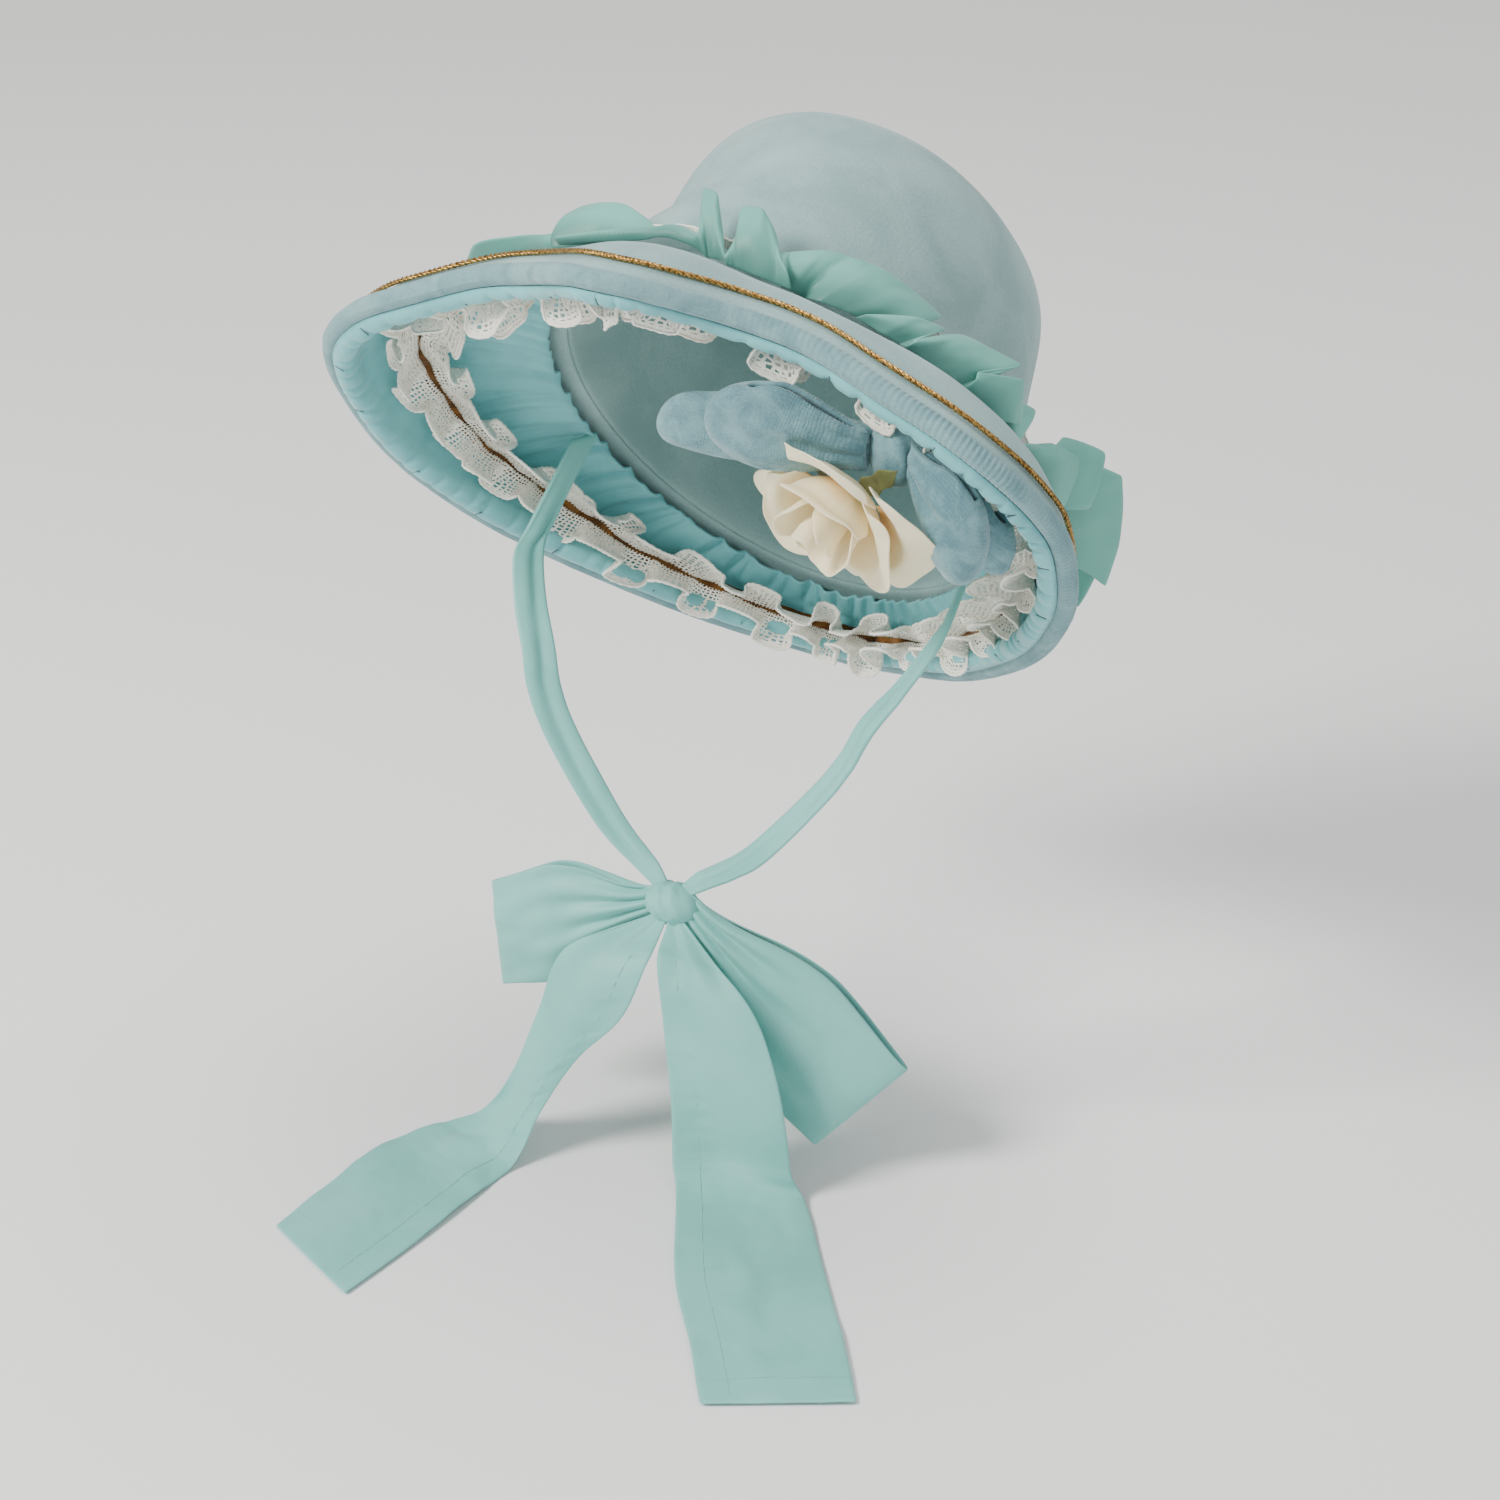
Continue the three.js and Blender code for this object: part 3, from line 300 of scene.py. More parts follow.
@dataclass(frozen=True)
class Satin(Finish):
    """Thin polyester cloth, plain woven: a soft shine on its folds and no pile."""

    roughness: float = 0.5
    thread_mm: float = 0.8   # drawn about four times as coarse as it is, so that it shows
    sheen: float = 0.25
    crease_mm: float = 18.0
    crease_depth: float = 0.25
    painted_shade_reach_mm: float = 0.0

    def make(self) -> bpy.types.Material:
        """Build the cloth's nodes."""
        material, tree, where, shader = self.start()
        place = where.outputs[Coordinates.OBJECT.value]
        tone = self.cloud(tree, place, self.crease_mm, 3.0, 0.5)
        shade = self.tones(tree, tone, self.dark, self.light, 0.30, 0.66)
        # Painted shade: the colour darkens towards the seam, where the gathered folds lie close
        if self.painted_shade_reach_mm:
            shade = self.painted_shade_to_seam(tree, where.outputs[Coordinates.THREADS.value], shade)
        tree.links.new(shade, shader.inputs["Base Color"])
        shader.inputs["Roughness"].default_value = self.roughness
        shader.inputs["Specular IOR Level"].default_value = 0.35
        shader.inputs["Sheen Weight"].default_value = self.sheen
        shader.inputs["Sheen Roughness"].default_value = 0.4
        threads = self.weave(tree, where.outputs[Coordinates.THREADS.value], self.thread_mm)
        surface = self.relief(tree, threads, 0.08, 0.35)
        creases = self.cloud(tree, place, self.crease_mm * 0.5, 2.0, 1.2)
        surface = self.relief(tree, creases, self.crease_depth, 0.6, surface)
        tree.links.new(surface, shader.inputs["Normal"])
        return material

    def painted_shade_to_seam(self, tree: bpy.types.NodeTree, threads: bpy.types.NodeSocket,
                   colour: bpy.types.NodeSocket) -> bpy.types.NodeSocket:
        """Darken the colour towards the seam as painted shade, where the cloth is gathered close.

        Args:
            tree: Node tree of the material.
            threads: The cloth's own coordinates, with Y from the seam.
            colour: Socket with the open cloth's colour.

        Returns:
            Socket with the shaded colour.
        """
        parts = add_node(tree, "ShaderNodeSeparateXYZ", {0: threads})
        away = add_node(tree, "ShaderNodeMapRange", {
            "Value": parts.outputs["Y"], "From Min": 0.0, "From Max": self.painted_shade_reach_mm * MM,
            "To Min": 0.48, "To Max": 1.0}, interpolation_type="SMOOTHSTEP")
        return add_node(tree, "ShaderNodeVectorMath", {0: colour, "Scale": away.outputs[0]},
                        operation="SCALE").outputs[0]


@dataclass(frozen=True)
class NetLace(Finish):
    """Raschel lace: a fine open net that carries denser rings and leaves along its scallops."""

    mesh_mm: float = 1.9     # the net's cells, drawn about twice as coarse as they are
    scallop_mm: float = 22.0
    width_mm: float = 17.0

    def make(self) -> bpy.types.Material:
        """Build the lace's nodes; what lies between its threads is clear."""
        material, tree, where, shader = self.start()
        threads = where.outputs[Coordinates.THREADS.value]
        cells = add_node(tree, "ShaderNodeTexVoronoi", {
            "Vector": threads, "Scale": 1 / (self.mesh_mm * MM), "Randomness": 0.35}, feature="DISTANCE_TO_EDGE")
        net = add_node(tree, "ShaderNodeMath", {0: cells.outputs["Distance"], 1: 0.19}, operation="LESS_THAN")
        parts = add_node(tree, "ShaderNodeSeparateXYZ", {0: threads})
        along = self.repeat(tree, parts.outputs["X"], self.scallop_mm)
        across = parts.outputs["Y"]
        solid = net.outputs[0]
        for middle, radius, thick in ((0.60, 5.6, 1.1), (0.60, 2.9, 0.9), (0.60, 1.0, 1.2), (0.16, 2.6, 0.8)):
            ring = self.ring(tree, along, across, middle * self.width_mm, radius, thick)
            solid = add_node(tree, "ShaderNodeMath", {0: solid, 1: ring}, operation="MAXIMUM").outputs[0]
        edge = add_node(tree, "ShaderNodeMath", {
            0: across, 1: 0.90 * self.width_mm * MM}, operation="GREATER_THAN")
        solid = add_node(tree, "ShaderNodeMath", {0: solid, 1: edge.outputs[0]}, operation="MAXIMUM").outputs[0]
        tree.links.new(solid, shader.inputs["Alpha"])
        fibre = self.cloud(tree, where.outputs[Coordinates.OBJECT.value], 1.2, 2.0)
        tree.links.new(self.tones(tree, fibre, self.dark, self.light, 0.3, 0.6), shader.inputs["Base Color"])
        shader.inputs["Roughness"].default_value = 0.75
        shader.inputs["Sheen Weight"].default_value = 0.3
        tree.links.new(self.relief(tree, fibre, 0.3, 0.5), shader.inputs["Normal"])
        return material

    def repeat(self, tree: bpy.types.NodeTree, value: bpy.types.NodeSocket, length_mm: float) -> bpy.types.NodeSocket:
        """Distance in metres to the middle of the nearest repeat of a length.

        Args:
            tree: Node tree of the material.
            value: Distance in metres along or across the lace.
            length_mm: Length of the repeat.

        Returns:
            Socket with the distance.
        """
        return add_node(tree, "ShaderNodeMath", {
            0: value, 1: length_mm * MM / 2, 2: -length_mm * MM / 2}, operation="WRAP").outputs[0]

    def ring(self, tree: bpy.types.NodeTree, along: bpy.types.NodeSocket, across: bpy.types.NodeSocket,
             middle_mm: float, radius_mm: float, thick_mm: float) -> bpy.types.NodeSocket:
        """One where a point lies in a ring of thick thread round the repeat's middle, else nought.

        Args:
            tree: Node tree of the material.
            along: Distance in metres along the lace from the repeat's middle.
            across: Distance in metres across the lace.
            middle_mm: Height of the ring's middle across the lace.
            radius_mm: Radius of the ring.
            thick_mm: Thickness of its thread.

        Returns:
            Socket with one or nought.
        """
        off = add_node(tree, "ShaderNodeMath", {0: across, 1: middle_mm * MM}, operation="SUBTRACT")
        flat = add_node(tree, "ShaderNodeCombineXYZ", {0: along, 1: off.outputs[0]})
        away = add_node(tree, "ShaderNodeVectorMath", {0: flat.outputs[0]}, operation="LENGTH")
        return add_node(tree, "ShaderNodeMath", {
            0: away.outputs["Value"], 1: radius_mm * MM, 2: thick_mm / 2 * MM}, operation="COMPARE").outputs[0]


@dataclass(frozen=True)
class GoldThread(Finish):
    """Metallised film wound on thread: bright where it faces the light, brown between."""

    def make(self) -> bpy.types.Material:
        """Build the thread's nodes."""
        material, tree, where, shader = self.start()
        grain = self.cloud(tree, where.outputs[Coordinates.OBJECT.value], 0.9, 2.0)
        tree.links.new(self.tones(tree, grain, self.dark, self.light, 0.35, 0.62), shader.inputs["Base Color"])
        shader.inputs["Metallic"].default_value = 0.85
        shader.inputs["Roughness"].default_value = 0.38
        tree.links.new(self.relief(tree, grain, 0.25, 0.6), shader.inputs["Normal"])
        return material


@dataclass(frozen=True)
class PetalCloth(Finish):
    """Heat-shaped polyester petals: matt cream, deeper at the heart, with faint veins."""

    glow: float = 0.25
    vein_mm: float = 1.6
    length_mm: float = 30.0

    def make(self) -> bpy.types.Material:
        """Build the petal's nodes; its own coordinates run from foot to rim."""
        material, tree, where, shader = self.start()
        threads = where.outputs[Coordinates.THREADS.value]
        parts = add_node(tree, "ShaderNodeSeparateXYZ", {0: threads})
        rise = add_node(tree, "ShaderNodeMath", {
            0: parts.outputs["Y"], 1: 1 / (self.length_mm * MM)}, operation="MULTIPLY")
        cloud = self.cloud(tree, where.outputs[Coordinates.OBJECT.value], 9.0, 2.0)
        tone = add_node(tree, "ShaderNodeMix", {0: 0.25, 2: rise.outputs[0], 3: cloud}, data_type="FLOAT")
        tree.links.new(self.tones(tree, tone.outputs[0], self.dark, self.light, 0.12, 0.55),
                       shader.inputs["Base Color"])
        shader.inputs["Roughness"].default_value = 0.65
        shader.inputs["Sheen Weight"].default_value = 0.2
        shader.inputs["Subsurface Weight"].default_value = self.glow
        shader.inputs["Subsurface Radius"].default_value = (1.0, 0.8, 0.5)
        shader.inputs["Subsurface Scale"].default_value = 3 * MM
        veins = add_node(tree, "ShaderNodeTexWave", {
            "Vector": threads, "Scale": 1 / (self.vein_mm * MM * WAVE_REPEAT), "Distortion": 2.0}, bands_direction="X")
        tree.links.new(self.relief(tree, veins.outputs["Fac"], 0.12, 0.3), shader.inputs["Normal"])
        return material


# Brushed velour: matt, pale blue with a grey-green cast, in broad soft blotches
CROWN_VELOUR = Velour("crown_velour_brushed", "#9CBBBA", "#88A9A8", patch_mm=34.0, sheen=0.32)
# The same cloth rolled tight, painted darker as shade where its pile opens over the roll, and more grained
EDGE_VELOUR_PAINTED_SHADE = Velour("edge_velour_painted_shade", "#86AAAE", "#6C9399", patch_mm=14.0, grain_mm=0.9, sheen=0.4)
# A bluer velour, handled and crushed: small blotches, and the knit's wales show through
BOW_VELOUR = Velour("bow_velour_brushed", "#83ABB1", "#608993", patch_mm=11.0, grain_mm=0.9, sheen=0.6, wale_mm=1.2)
# Polyester satin: smooth sea green with a soft shine, with painted shade that darkens it towards its gathered seam
RUFFLE_SATIN = Satin("ruffle_satin_painted_seam_shade", "#74BDAF", "#65AC9E", roughness=0.42, crease_mm=40.0, painted_shade_reach_mm=34.0)
# Lining satin: bluer and a little shinier, in fine gathers
LINING_SATIN = Satin("lining_satin_gathered", "#7CC5C9", "#6DB3B8", roughness=0.40)
# Soft chiffon ribbon: pale turquoise, nearly matt, with faint long creases
CHIFFON = Satin("ribbon_chiffon_soft", "#86CCC5", "#78BFB7", roughness=0.50, crease_mm=40.0, crease_depth=0.4)
# Cotton-look lace: off-white, clear between its threads
CREAM_LACE = NetLace("cream_lace_net", "#FFFCF2", "#F1EBDD")
# Thick matt thread that outlines the lace's scallops
CREAM_THREAD = Satin("cream_lace_cord", "#FFFCF2", "#F3EDE0", roughness=0.75, thread_mm=0.6)
# Narrow velvet ribbon: dark warm brown with a lighter nap
BROWN_VELVET = Velour("brown_velvet_ribbon", "#7E5426", "#4A2E12", patch_mm=7.0, grain_mm=0.7, sheen=0.3)
# Twisted metallic thread: antique gold, brown in its grooves
GOLD_THREAD = GoldThread("gold_thread_twisted", "#CFA661", "#6A4A1E")
# Rose petals: cream at the rims, warmer towards the heart
ROSE_CLOTH = PetalCloth("rose_petal_cloth", "#FBECC6", "#EDBF6E")
# Printed leaf cloth: dull olive, and the same cloth flushed red-brown
LEAF_CLOTH = Satin("leaf_cloth_green", "#6E7846", "#514F30", roughness=0.7, crease_mm=8.0)
RED_LEAF_CLOTH = Satin("leaf_cloth_reddened", "#A85348", "#6E4A34", roughness=0.7, crease_mm=7.0)
# Wire wound with cloth tape: dull green
STEM_CLOTH = Satin("stem_cloth_green", "#7D8450", "#5F653C", roughness=0.7, crease_mm=5.0)
# Sewing threads: grey at the lining's edge, turquoise on the ribbon
DARK_THREAD = Satin("stitching_thread_grey", "#5E6F78", "#3E4C55", roughness=0.8)
SEAM_THREAD = Satin("seam_thread_turquoise", "#86C2BA", "#7AB7AF", roughness=0.7)


class Wardrobe:
    """Makes each finish once and hands it out."""

    made: dict[str, bpy.types.Material] = {}

    @classmethod
    def of(cls, finish: Finish) -> bpy.types.Material:
        """Material of a finish, made on first use.

        Args:
            finish: The finish that is asked for.

        Returns:
            Its material.
        """
        if finish.name not in cls.made:
            cls.made[finish.name] = finish.make()
        return cls.made[finish.name]


# Meshes

@dataclass(frozen=True)
class Cut:
    """How a cloth is cut and laid out as a grid of points."""

    steps_along: int
    steps_across: int
    length_mm: float
    width_mm: float
    wall_mm: float = 1.0
    loop: bool = False
    tube: bool = False
    levels: int = 1
    even: bool = False


def finished(name: str, shape: bmesh.types.BMesh, smooth: bool = True) -> bpy.types.Object:
    """Turn a bmesh into an object of the scene.

    Args:
        name: Name of the object and of its mesh.
        shape: The bmesh, which is freed.
        smooth: Whether its faces are shaded smooth.

    Returns:
        The object.
    """
    for face in shape.faces:
        face.smooth = smooth
    mesh = bpy.data.meshes.new(name)
    shape.to_mesh(mesh)
    shape.free()
    piece = bpy.data.objects.new(name, mesh)
    bpy.context.scene.collection.objects.link(piece)
    return piece


def shaped_ball(name: str, around: int, along: int, place: Callable[[float, float, float], Vector]) -> bpy.types.Object:
    """Make a soft knot: a ball whose points are moved to their places.

    Args:
        name: Name of the piece.
        around: Faces round the ball.
        along: Faces from pole to pole.
        place: Gives a point in metres for a point of the unit ball.

    Returns:
        The piece.
    """
    shape = bmesh.new()
    shape.loops.layers.uv.new("threads")
    bmesh.ops.create_uvsphere(shape, u_segments=around, v_segments=along, radius=1.0)
    for vert in shape.verts:
        vert.co = place(*vert.co)
    return finished(name, shape)


def shaped_grid(name: str, cut: Cut, place: Place) -> bpy.types.Object:
    """Make a cloth: a flat grid whose points are moved to their places.

    Args:
        name: Name of the piece.
        cut: Steps, flat size and wall.
        place: Gives a point in metres for shares along and across the cloth.

    Returns:
        The piece, with threads' coordinates in metres.
    """
    shape = bmesh.new()
    threads = shape.loops.layers.uv.new("threads")
    bmesh.ops.create_grid(shape, x_segments=cut.steps_along, y_segments=cut.steps_across, size=0.5)
    flat = {v: (v.co.x + 0.5, v.co.y + 0.5) for v in shape.verts}
    for face in shape.faces:
        for corner in face.loops:
            u, v = flat[corner.vert]
            corner[threads].uv = (u * cut.length_mm * MM, v * cut.width_mm * MM)
    for vert, (u, v) in flat.items():
        vert.co = place(u, v)
    if cut.loop or cut.tube:
        bmesh.ops.remove_doubles(shape, verts=shape.verts, dist=1e-6)
    if cut.tube:
        bmesh.ops.recalc_face_normals(shape, faces=shape.faces)
    piece = finished(name, shape)
    if not cut.tube and cut.wall_mm:
        wall = piece.modifiers.new("wall", "SOLIDIFY")
        wall.thickness = cut.wall_mm * MM
        wall.offset = 0.0
        wall.use_even_offset = cut.even
    if cut.levels:
        finer = piece.modifiers.new("finer", "SUBSURF")
        finer.levels = finer.render_levels = cut.levels
        finer.boundary_smooth = "PRESERVE_CORNERS"
    return piece


def dress(piece: bpy.types.Object, finish: Finish, slot: str, *nodes: str) -> None:
    """Give a piece its material, its body and the nodes that it stands for.

    Args:
        piece: The piece.
        finish: Its finish.
        slot: Name of its colour slot; not used.
        nodes: Solids that it takes the place of, if any.
    """
    piece.data.materials.append(Wardrobe.of(finish))
    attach(piece, BODY)
    if nodes:
        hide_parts(*nodes)
    area = sum(face.area for face in piece.data.polygons)
    LOG.info("%s: %d faces, %.4f square metres", piece.name, len(piece.data.polygons), area)


def tube_place(path: Callable[[float], Vector], radius: Callable[[float, float], float], up: Vector) -> Place:
    """Place of a closed tube's skin round a path.

    Args:
        path: Point in metres for a share along it.
        radius: Radius in metres for shares along and around.
        up: Direction that sets where the section starts.

    Returns:
        The place function of the tube.
    """
    step = 1e-4

    def place(u: float, v: float) -> Vector:
        """Point of the skin.

        Args:
            u: Share along the path.
            v: Share round the section.

        Returns:
            The point, in metres.
        """
        here = path(u)
        ahead = (path(min(u + step, 1.0)) - path(max(u - step, 0.0))).normalized()
        side = ahead.cross(up).normalized()
        over = side.cross(ahead)
        turn = TAU * v
        return here + (side * math.cos(turn) + over * math.sin(turn)) * radius(u, v)

    return place


# Forms that the pieces share

class CrownSection(NamedTuple):
    """Section of the crown: shares of its height, half width, half length, and shift back."""

    height: float
    width: float
    length: float
    shift: float


class Dent(NamedTuple):
    """Soft dent of the crown: place, reach and depth as a share of the half width."""

    angle: float
    height: float
    spread_angle: float
    spread_height: float
    depth: float


class EdgePoint(NamedTuple):
    """Brim's outermost edge at an angle: shares of its half width, reach and depth."""

    angle: float
    across: float
    up: float
    forward: float


CROWN_SECTIONS = (
    CrownSection(0.00, 1.00, 1.00, 0.00),
    CrownSection(0.15, 0.99, 0.98, 0.00),
    CrownSection(0.35, 0.95, 0.93, 0.00),
    CrownSection(0.55, 0.88, 0.85, 0.01),
    CrownSection(0.72, 0.77, 0.73, 0.02),
    CrownSection(0.85, 0.62, 0.58, 0.03),
    CrownSection(0.94, 0.42, 0.39, 0.03),
    CrownSection(0.985, 0.21, 0.20, 0.03),
    CrownSection(1.00, 0.00, 0.00, 0.03),
)
CROWN_DENTS = (
    Dent(-30, 0.45, 26, 0.20, 0.07),
    Dent(72, 0.28, 14, 0.22, 0.05),
    Dent(118, 0.50, 12, 0.30, 0.04),
    Dent(-125, 0.40, 24, 0.22, 0.04),
    Dent(52, 0.60, 9, 0.05, 0.018),
    Dent(38, 0.55, 20, 0.07, -0.012),
    Dent(10, 0.72, 30, 0.08, 0.015),
    Dent(-62, 0.42, 38, 0.26, 0.09),
    Dent(118, 0.78, 52, 0.22, -0.09),
)
BRIM_EDGE = (
    EdgePoint(0, 0.00, 1.000, 0.93),
    EdgePoint(8, 0.10, 0.975, 0.89),
    EdgePoint(18, 0.28, 0.850, 0.72),
    EdgePoint(28, 0.46, 0.780, 0.70),
    EdgePoint(38, 0.66, 0.715, 0.84),
    EdgePoint(47, 0.81, 0.650, 0.93),
    EdgePoint(56, 0.92, 0.550, 0.98),
    EdgePoint(65, 0.98, 0.430, 0.98),
    EdgePoint(75, 1.00, 0.300, 0.98),
    EdgePoint(86, 0.97, 0.120, 1.02),
    EdgePoint(98, 0.90, -0.050, 1.02),
    EdgePoint(112, 0.79, -0.270, 0.96),
    EdgePoint(130, 0.62, -0.530, 0.82),
    EdgePoint(150, 0.38, -0.820, 0.62),
    EdgePoint(168, 0.13, -0.970, 0.50),
    EdgePoint(180, 0.00, -1.000, 0.48),
)


@dataclass(eq=False)
class Form:
    """Surfaces of crown and brim in millimetres, in the crown's own frame, and the way out of it."""

    half_width: float = 84.0
    half_length: float = 105.0
    crown_height: float = 118.0
    crown_foot: float = 1.3
    tilt: float = 54.0
    join_back: float = 17.0
    join_up: float = 42.0
    knot_forward: float = 62.0
    chin_drop: float = 120.0
    brim_half_width: float = 151.0
    reach_up: float = 157.0
    reach_down: float = 128.0
    brim_forward: float = 50.0
    belly: float = 0.16
    lines: dict[float, tuple[Vector, Vector, Vector, float]] = field(default_factory=dict)

    def __post_init__(self) -> None:
        """Find the hollow's middle from the knot under the chin, and the crown's place."""
        low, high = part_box("chin_knot")
        knot = (low + high) / 2 / MM
        self.hollow = knot + Vector((0, self.knot_forward, self.chin_drop))
        turn = Matrix.Rotation(math.radians(-self.tilt), 4, "X")
        self.crown_place = Matrix.Translation(self.hollow + Vector((0, self.join_back, self.join_up))) @ turn

    def worn(self, point: Vector) -> Vector:
        """Point of the crown's frame in the bonnet's frame, in metres."""
        return (self.crown_place @ point) * MM

    def hung(self, point: Vector) -> Vector:
        """Point of the hollow's frame in the bonnet's frame, in metres."""
        return (self.hollow + point) * MM

    def crown(self, angle: float, height: float, inwards: float = 0.0) -> Vector:
        """Point on the crown's wall at an angle from the front and a share of its height.

        Args:
            angle: Angle in degrees from the front, towards the right.
            height: Share of the crown's height.
            inwards: Distance inwards from the wall.

        Returns:
            The point, in the crown's frame.
        """
        width = self.half_width * read(CROWN_SECTIONS, "height", "width", height)
        length = self.half_length * read(CROWN_SECTIONS, "height", "length", height)
        shift = self.half_length * read(CROWN_SECTIONS, "height", "shift", height)
        dent = 0.0
        for d in CROWN_DENTS:
            away = turned(angle - d.angle) / d.spread_angle
            above = (height - d.height) / d.spread_height
            dent += d.depth * math.exp(-away * away - above * above)
        keep = 1 - dent - inwards / self.half_width
        turn = math.radians(angle)
        return Vector((width * keep * math.sin(turn), -length * keep * math.cos(turn) - shift,
                       self.crown_foot + (self.crown_height - self.crown_foot) * height))

    def edge(self, angle: float) -> Vector:
        """Outermost edge of the brim.

        Args:
            angle: Angle in degrees from the front.

        Returns:
            The point, in the crown's frame.
        """
        turn = turned(angle)
        key = abs(turn)
        up = read(BRIM_EDGE, "angle", "up", key)
        reach = self.reach_up if up > 0 else self.reach_down
        across = math.copysign(1, turn) * self.brim_half_width * read(BRIM_EDGE, "angle", "across", key)
        return Vector((across, -reach * up, -self.brim_forward * read(BRIM_EDGE, "angle", "forward", key)))

    def line(self, angle: float) -> tuple[Vector, Vector, Vector, float]:
        """Join, run, bend and length of the brim's cloth at an angle, kept once worked out.

        Args:
            angle: Angle in degrees from the front.

        Returns:
            The join's point, the run to the edge, the direction of the bend and the run's length.
        """
        key = round(angle, 4)
        if key not in self.lines:
            turn = math.radians(key)
            start = Vector((self.half_width * math.sin(turn), -self.half_length * math.cos(turn), 0))
            run = self.edge(key) - start
            outward = Vector((start.x, start.y, 0)).normalized()
            bend = (Vector((0, 0, 1)) - run * (run.z / run.length_squared)).normalized()
            bend = (bend + outward * 0.2).normalized()
            self.lines[key] = (start, run, bend, run.length)
        return self.lines[key]

    def middle(self, angle: float, part: float) -> Vector:
        """Middle of the brim's cloth from the join at 0 to its edge at 1."""
        start, run, bend, length = self.line(angle)
        return start + run * part + bend * (length * self.belly * 4 * part * (1 - part))

    def brim(self, angle: float, part: float, over: float = 0.0) -> Vector:
        """Point at a height over the brim's middle.

        Args:
            angle: Angle in degrees from the front.
            part: Share of the way from the join to the edge.
            over: Height over the middle; below it when negative.

        Returns:
            The point, in the crown's frame.
        """
        step = 0.01
        along = self.middle(angle + 1, part) - self.middle(angle - 1, part)
        across = self.middle(angle, part + step) - self.middle(angle, part - step)
        return self.middle(angle, part) + across.cross(along).normalized() * over

    def depth(self, angle: float) -> float:
        """Straight depth of the brim at an angle."""
        return self.line(angle)[3]

    def short_of_edge(self, angle: float, length: float) -> float:
        """Share of the brim's depth that ends a length short of its edge."""
        return 1 - length / self.depth(angle)


# Sub-assemblies

@dataclass
class VelourShell:
    """Crown, brim and rolled edge, with the cord couched on the brim."""

    form: Form
    wall: float = 2.0
    gap: float = 0.3
    roll: float = 8.0
    rib: float = 2.1
    cord: float = 2.2
    cord_inset: float = 15.0
    strands: int = 3
    twist: float = 5.5
    edge_run: float = 900.0
    cord_run: float = 820.0

    def crown(self) -> None:
        """Crown of one piece of velour, tapered and domed, with its dents."""
        def place(u: float, v: float) -> Vector:
            """Point of the crown's wall; its foot is sewn down onto the brim.

            Args:
                u: Share of the way round.
                v: Share of the way up.

            Returns:
                The point, in metres.
            """
            angle, height = 360 * u, math.sin(v * math.pi / 2)
            soft = 0.7 * wander(math.cos(TAU * u) * 2.2, math.sin(TAU * u) * 2.2, height * 2.5) * (1 - v ** 6)
            point = self.form.crown(angle, height, soft * ease(v * 5))
            return self.form.worn(point - Vector((0, 0, self.form.crown_foot * (1 - ease(v * 12)))))

        piece = shaped_grid("crown_velour", Cut(150, 40, 560, 150, self.wall, loop=True, even=True), place)
        dress(piece, CROWN_VELOUR, "crown_velour", "crown")

    def brim(self) -> None:
        """Brim that flares out from the join to the rolled edge."""
        def place(u: float, v: float) -> Vector:
            """Point of the brim's middle.

            Args:
                u: Share of the way round.
                v: Share from the join to the roll.

            Returns:
                The point, in metres.
            """
            angle = 360 * u
            part = mix(-0.01, self.form.short_of_edge(angle, self.roll), v)
            soft = 0.5 * wander(math.cos(TAU * u) * 4, math.sin(TAU * u) * 4, part * 2)
            return self.form.worn(self.form.brim(angle, part, soft * ease(4 * v * (1 - v))))

        piece = shaped_grid("brim_velour", Cut(180, 20, 760, 70, self.wall, loop=True, even=True), place)
        dress(piece, CROWN_VELOUR, "crown_velour", "brim")

    def edge_roll(self) -> None:
        """Rolled velour edge, ribbed across where the pile opens over the roll."""
        ribs = round(self.edge_run / self.rib)

        def path(u: float) -> Vector:
            """Middle of the roll."""
            angle = 360 * u
            return self.form.worn(self.form.brim(angle, self.form.short_of_edge(angle, self.roll / 2)))

        def place(u: float, v: float) -> Vector:
            """Skin of the roll.

            Args:
                u: Share of the way round the brim.
                v: Share round the roll's section.

            Returns:
                The point, in metres.
            """
            angle = 360 * u
            step = 0.4
            here = path(u)
            ahead = (path((angle + step) / 360) - path((angle - step) / 360)).normalized()
            out = self.form.worn(self.form.edge(angle)) - self.form.worn(self.form.middle(angle, 0.8))
            out = (out - ahead * out.dot(ahead)).normalized()
            over = out.cross(ahead)
            turn = TAU * v
            side = ease(math.sin(math.radians(angle)) * 1.5 - 0.2)
            rib = 0.30 * side * math.cos(TAU * ribs * u + 1.5 * math.sin(turn))
            soft = 0.10 * wander(u * 120, v * 3)
            radius = (self.roll / 2 + rib * max(0.0, 0.6 + 0.4 * math.sin(turn)) + soft) * MM
            return here + (out * math.cos(turn) + over * math.sin(turn)) * radius

        cut = Cut(ribs * 4, 14, self.edge_run, math.pi * self.roll, tube=True, levels=0)
        piece = shaped_grid("edge_roll_velour", cut, place)
        # Its finish is the crown velour in darker tones: painted shade over the roll
        dress(piece, EDGE_VELOUR_PAINTED_SHADE, "edge_velour", "edge_roll")

    def gold_cord(self) -> None:
        """Cord of twisted metallic strands, couched along the brim."""
        over = self.wall / 2 + self.gap + self.cord / 2
        turns = round(self.cord_run / self.twist)
        strand = self.cord * 0.27
        shape = bmesh.new()
        for k in range(self.strands):
            def path(u: float, k: int = k) -> Vector:
                """Middle of one strand as it winds round the cord.

                Args:
                    u: Share of the way round the brim.
                    k: Number of the strand.

                Returns:
                    The point, in metres.
                """
                angle = 360 * u
                phase = TAU * (turns * u + k / self.strands)
                lift = (self.cord / 2 - strand) * math.sin(phase)
                aside = (self.cord / 2 - strand) * 1.25 * math.cos(phase)
                inset = self.cord_inset + aside + 0.5 * wander(u * 30, 3)
                return self.form.worn(self.form.brim(angle, self.form.short_of_edge(angle, inset), over + lift))

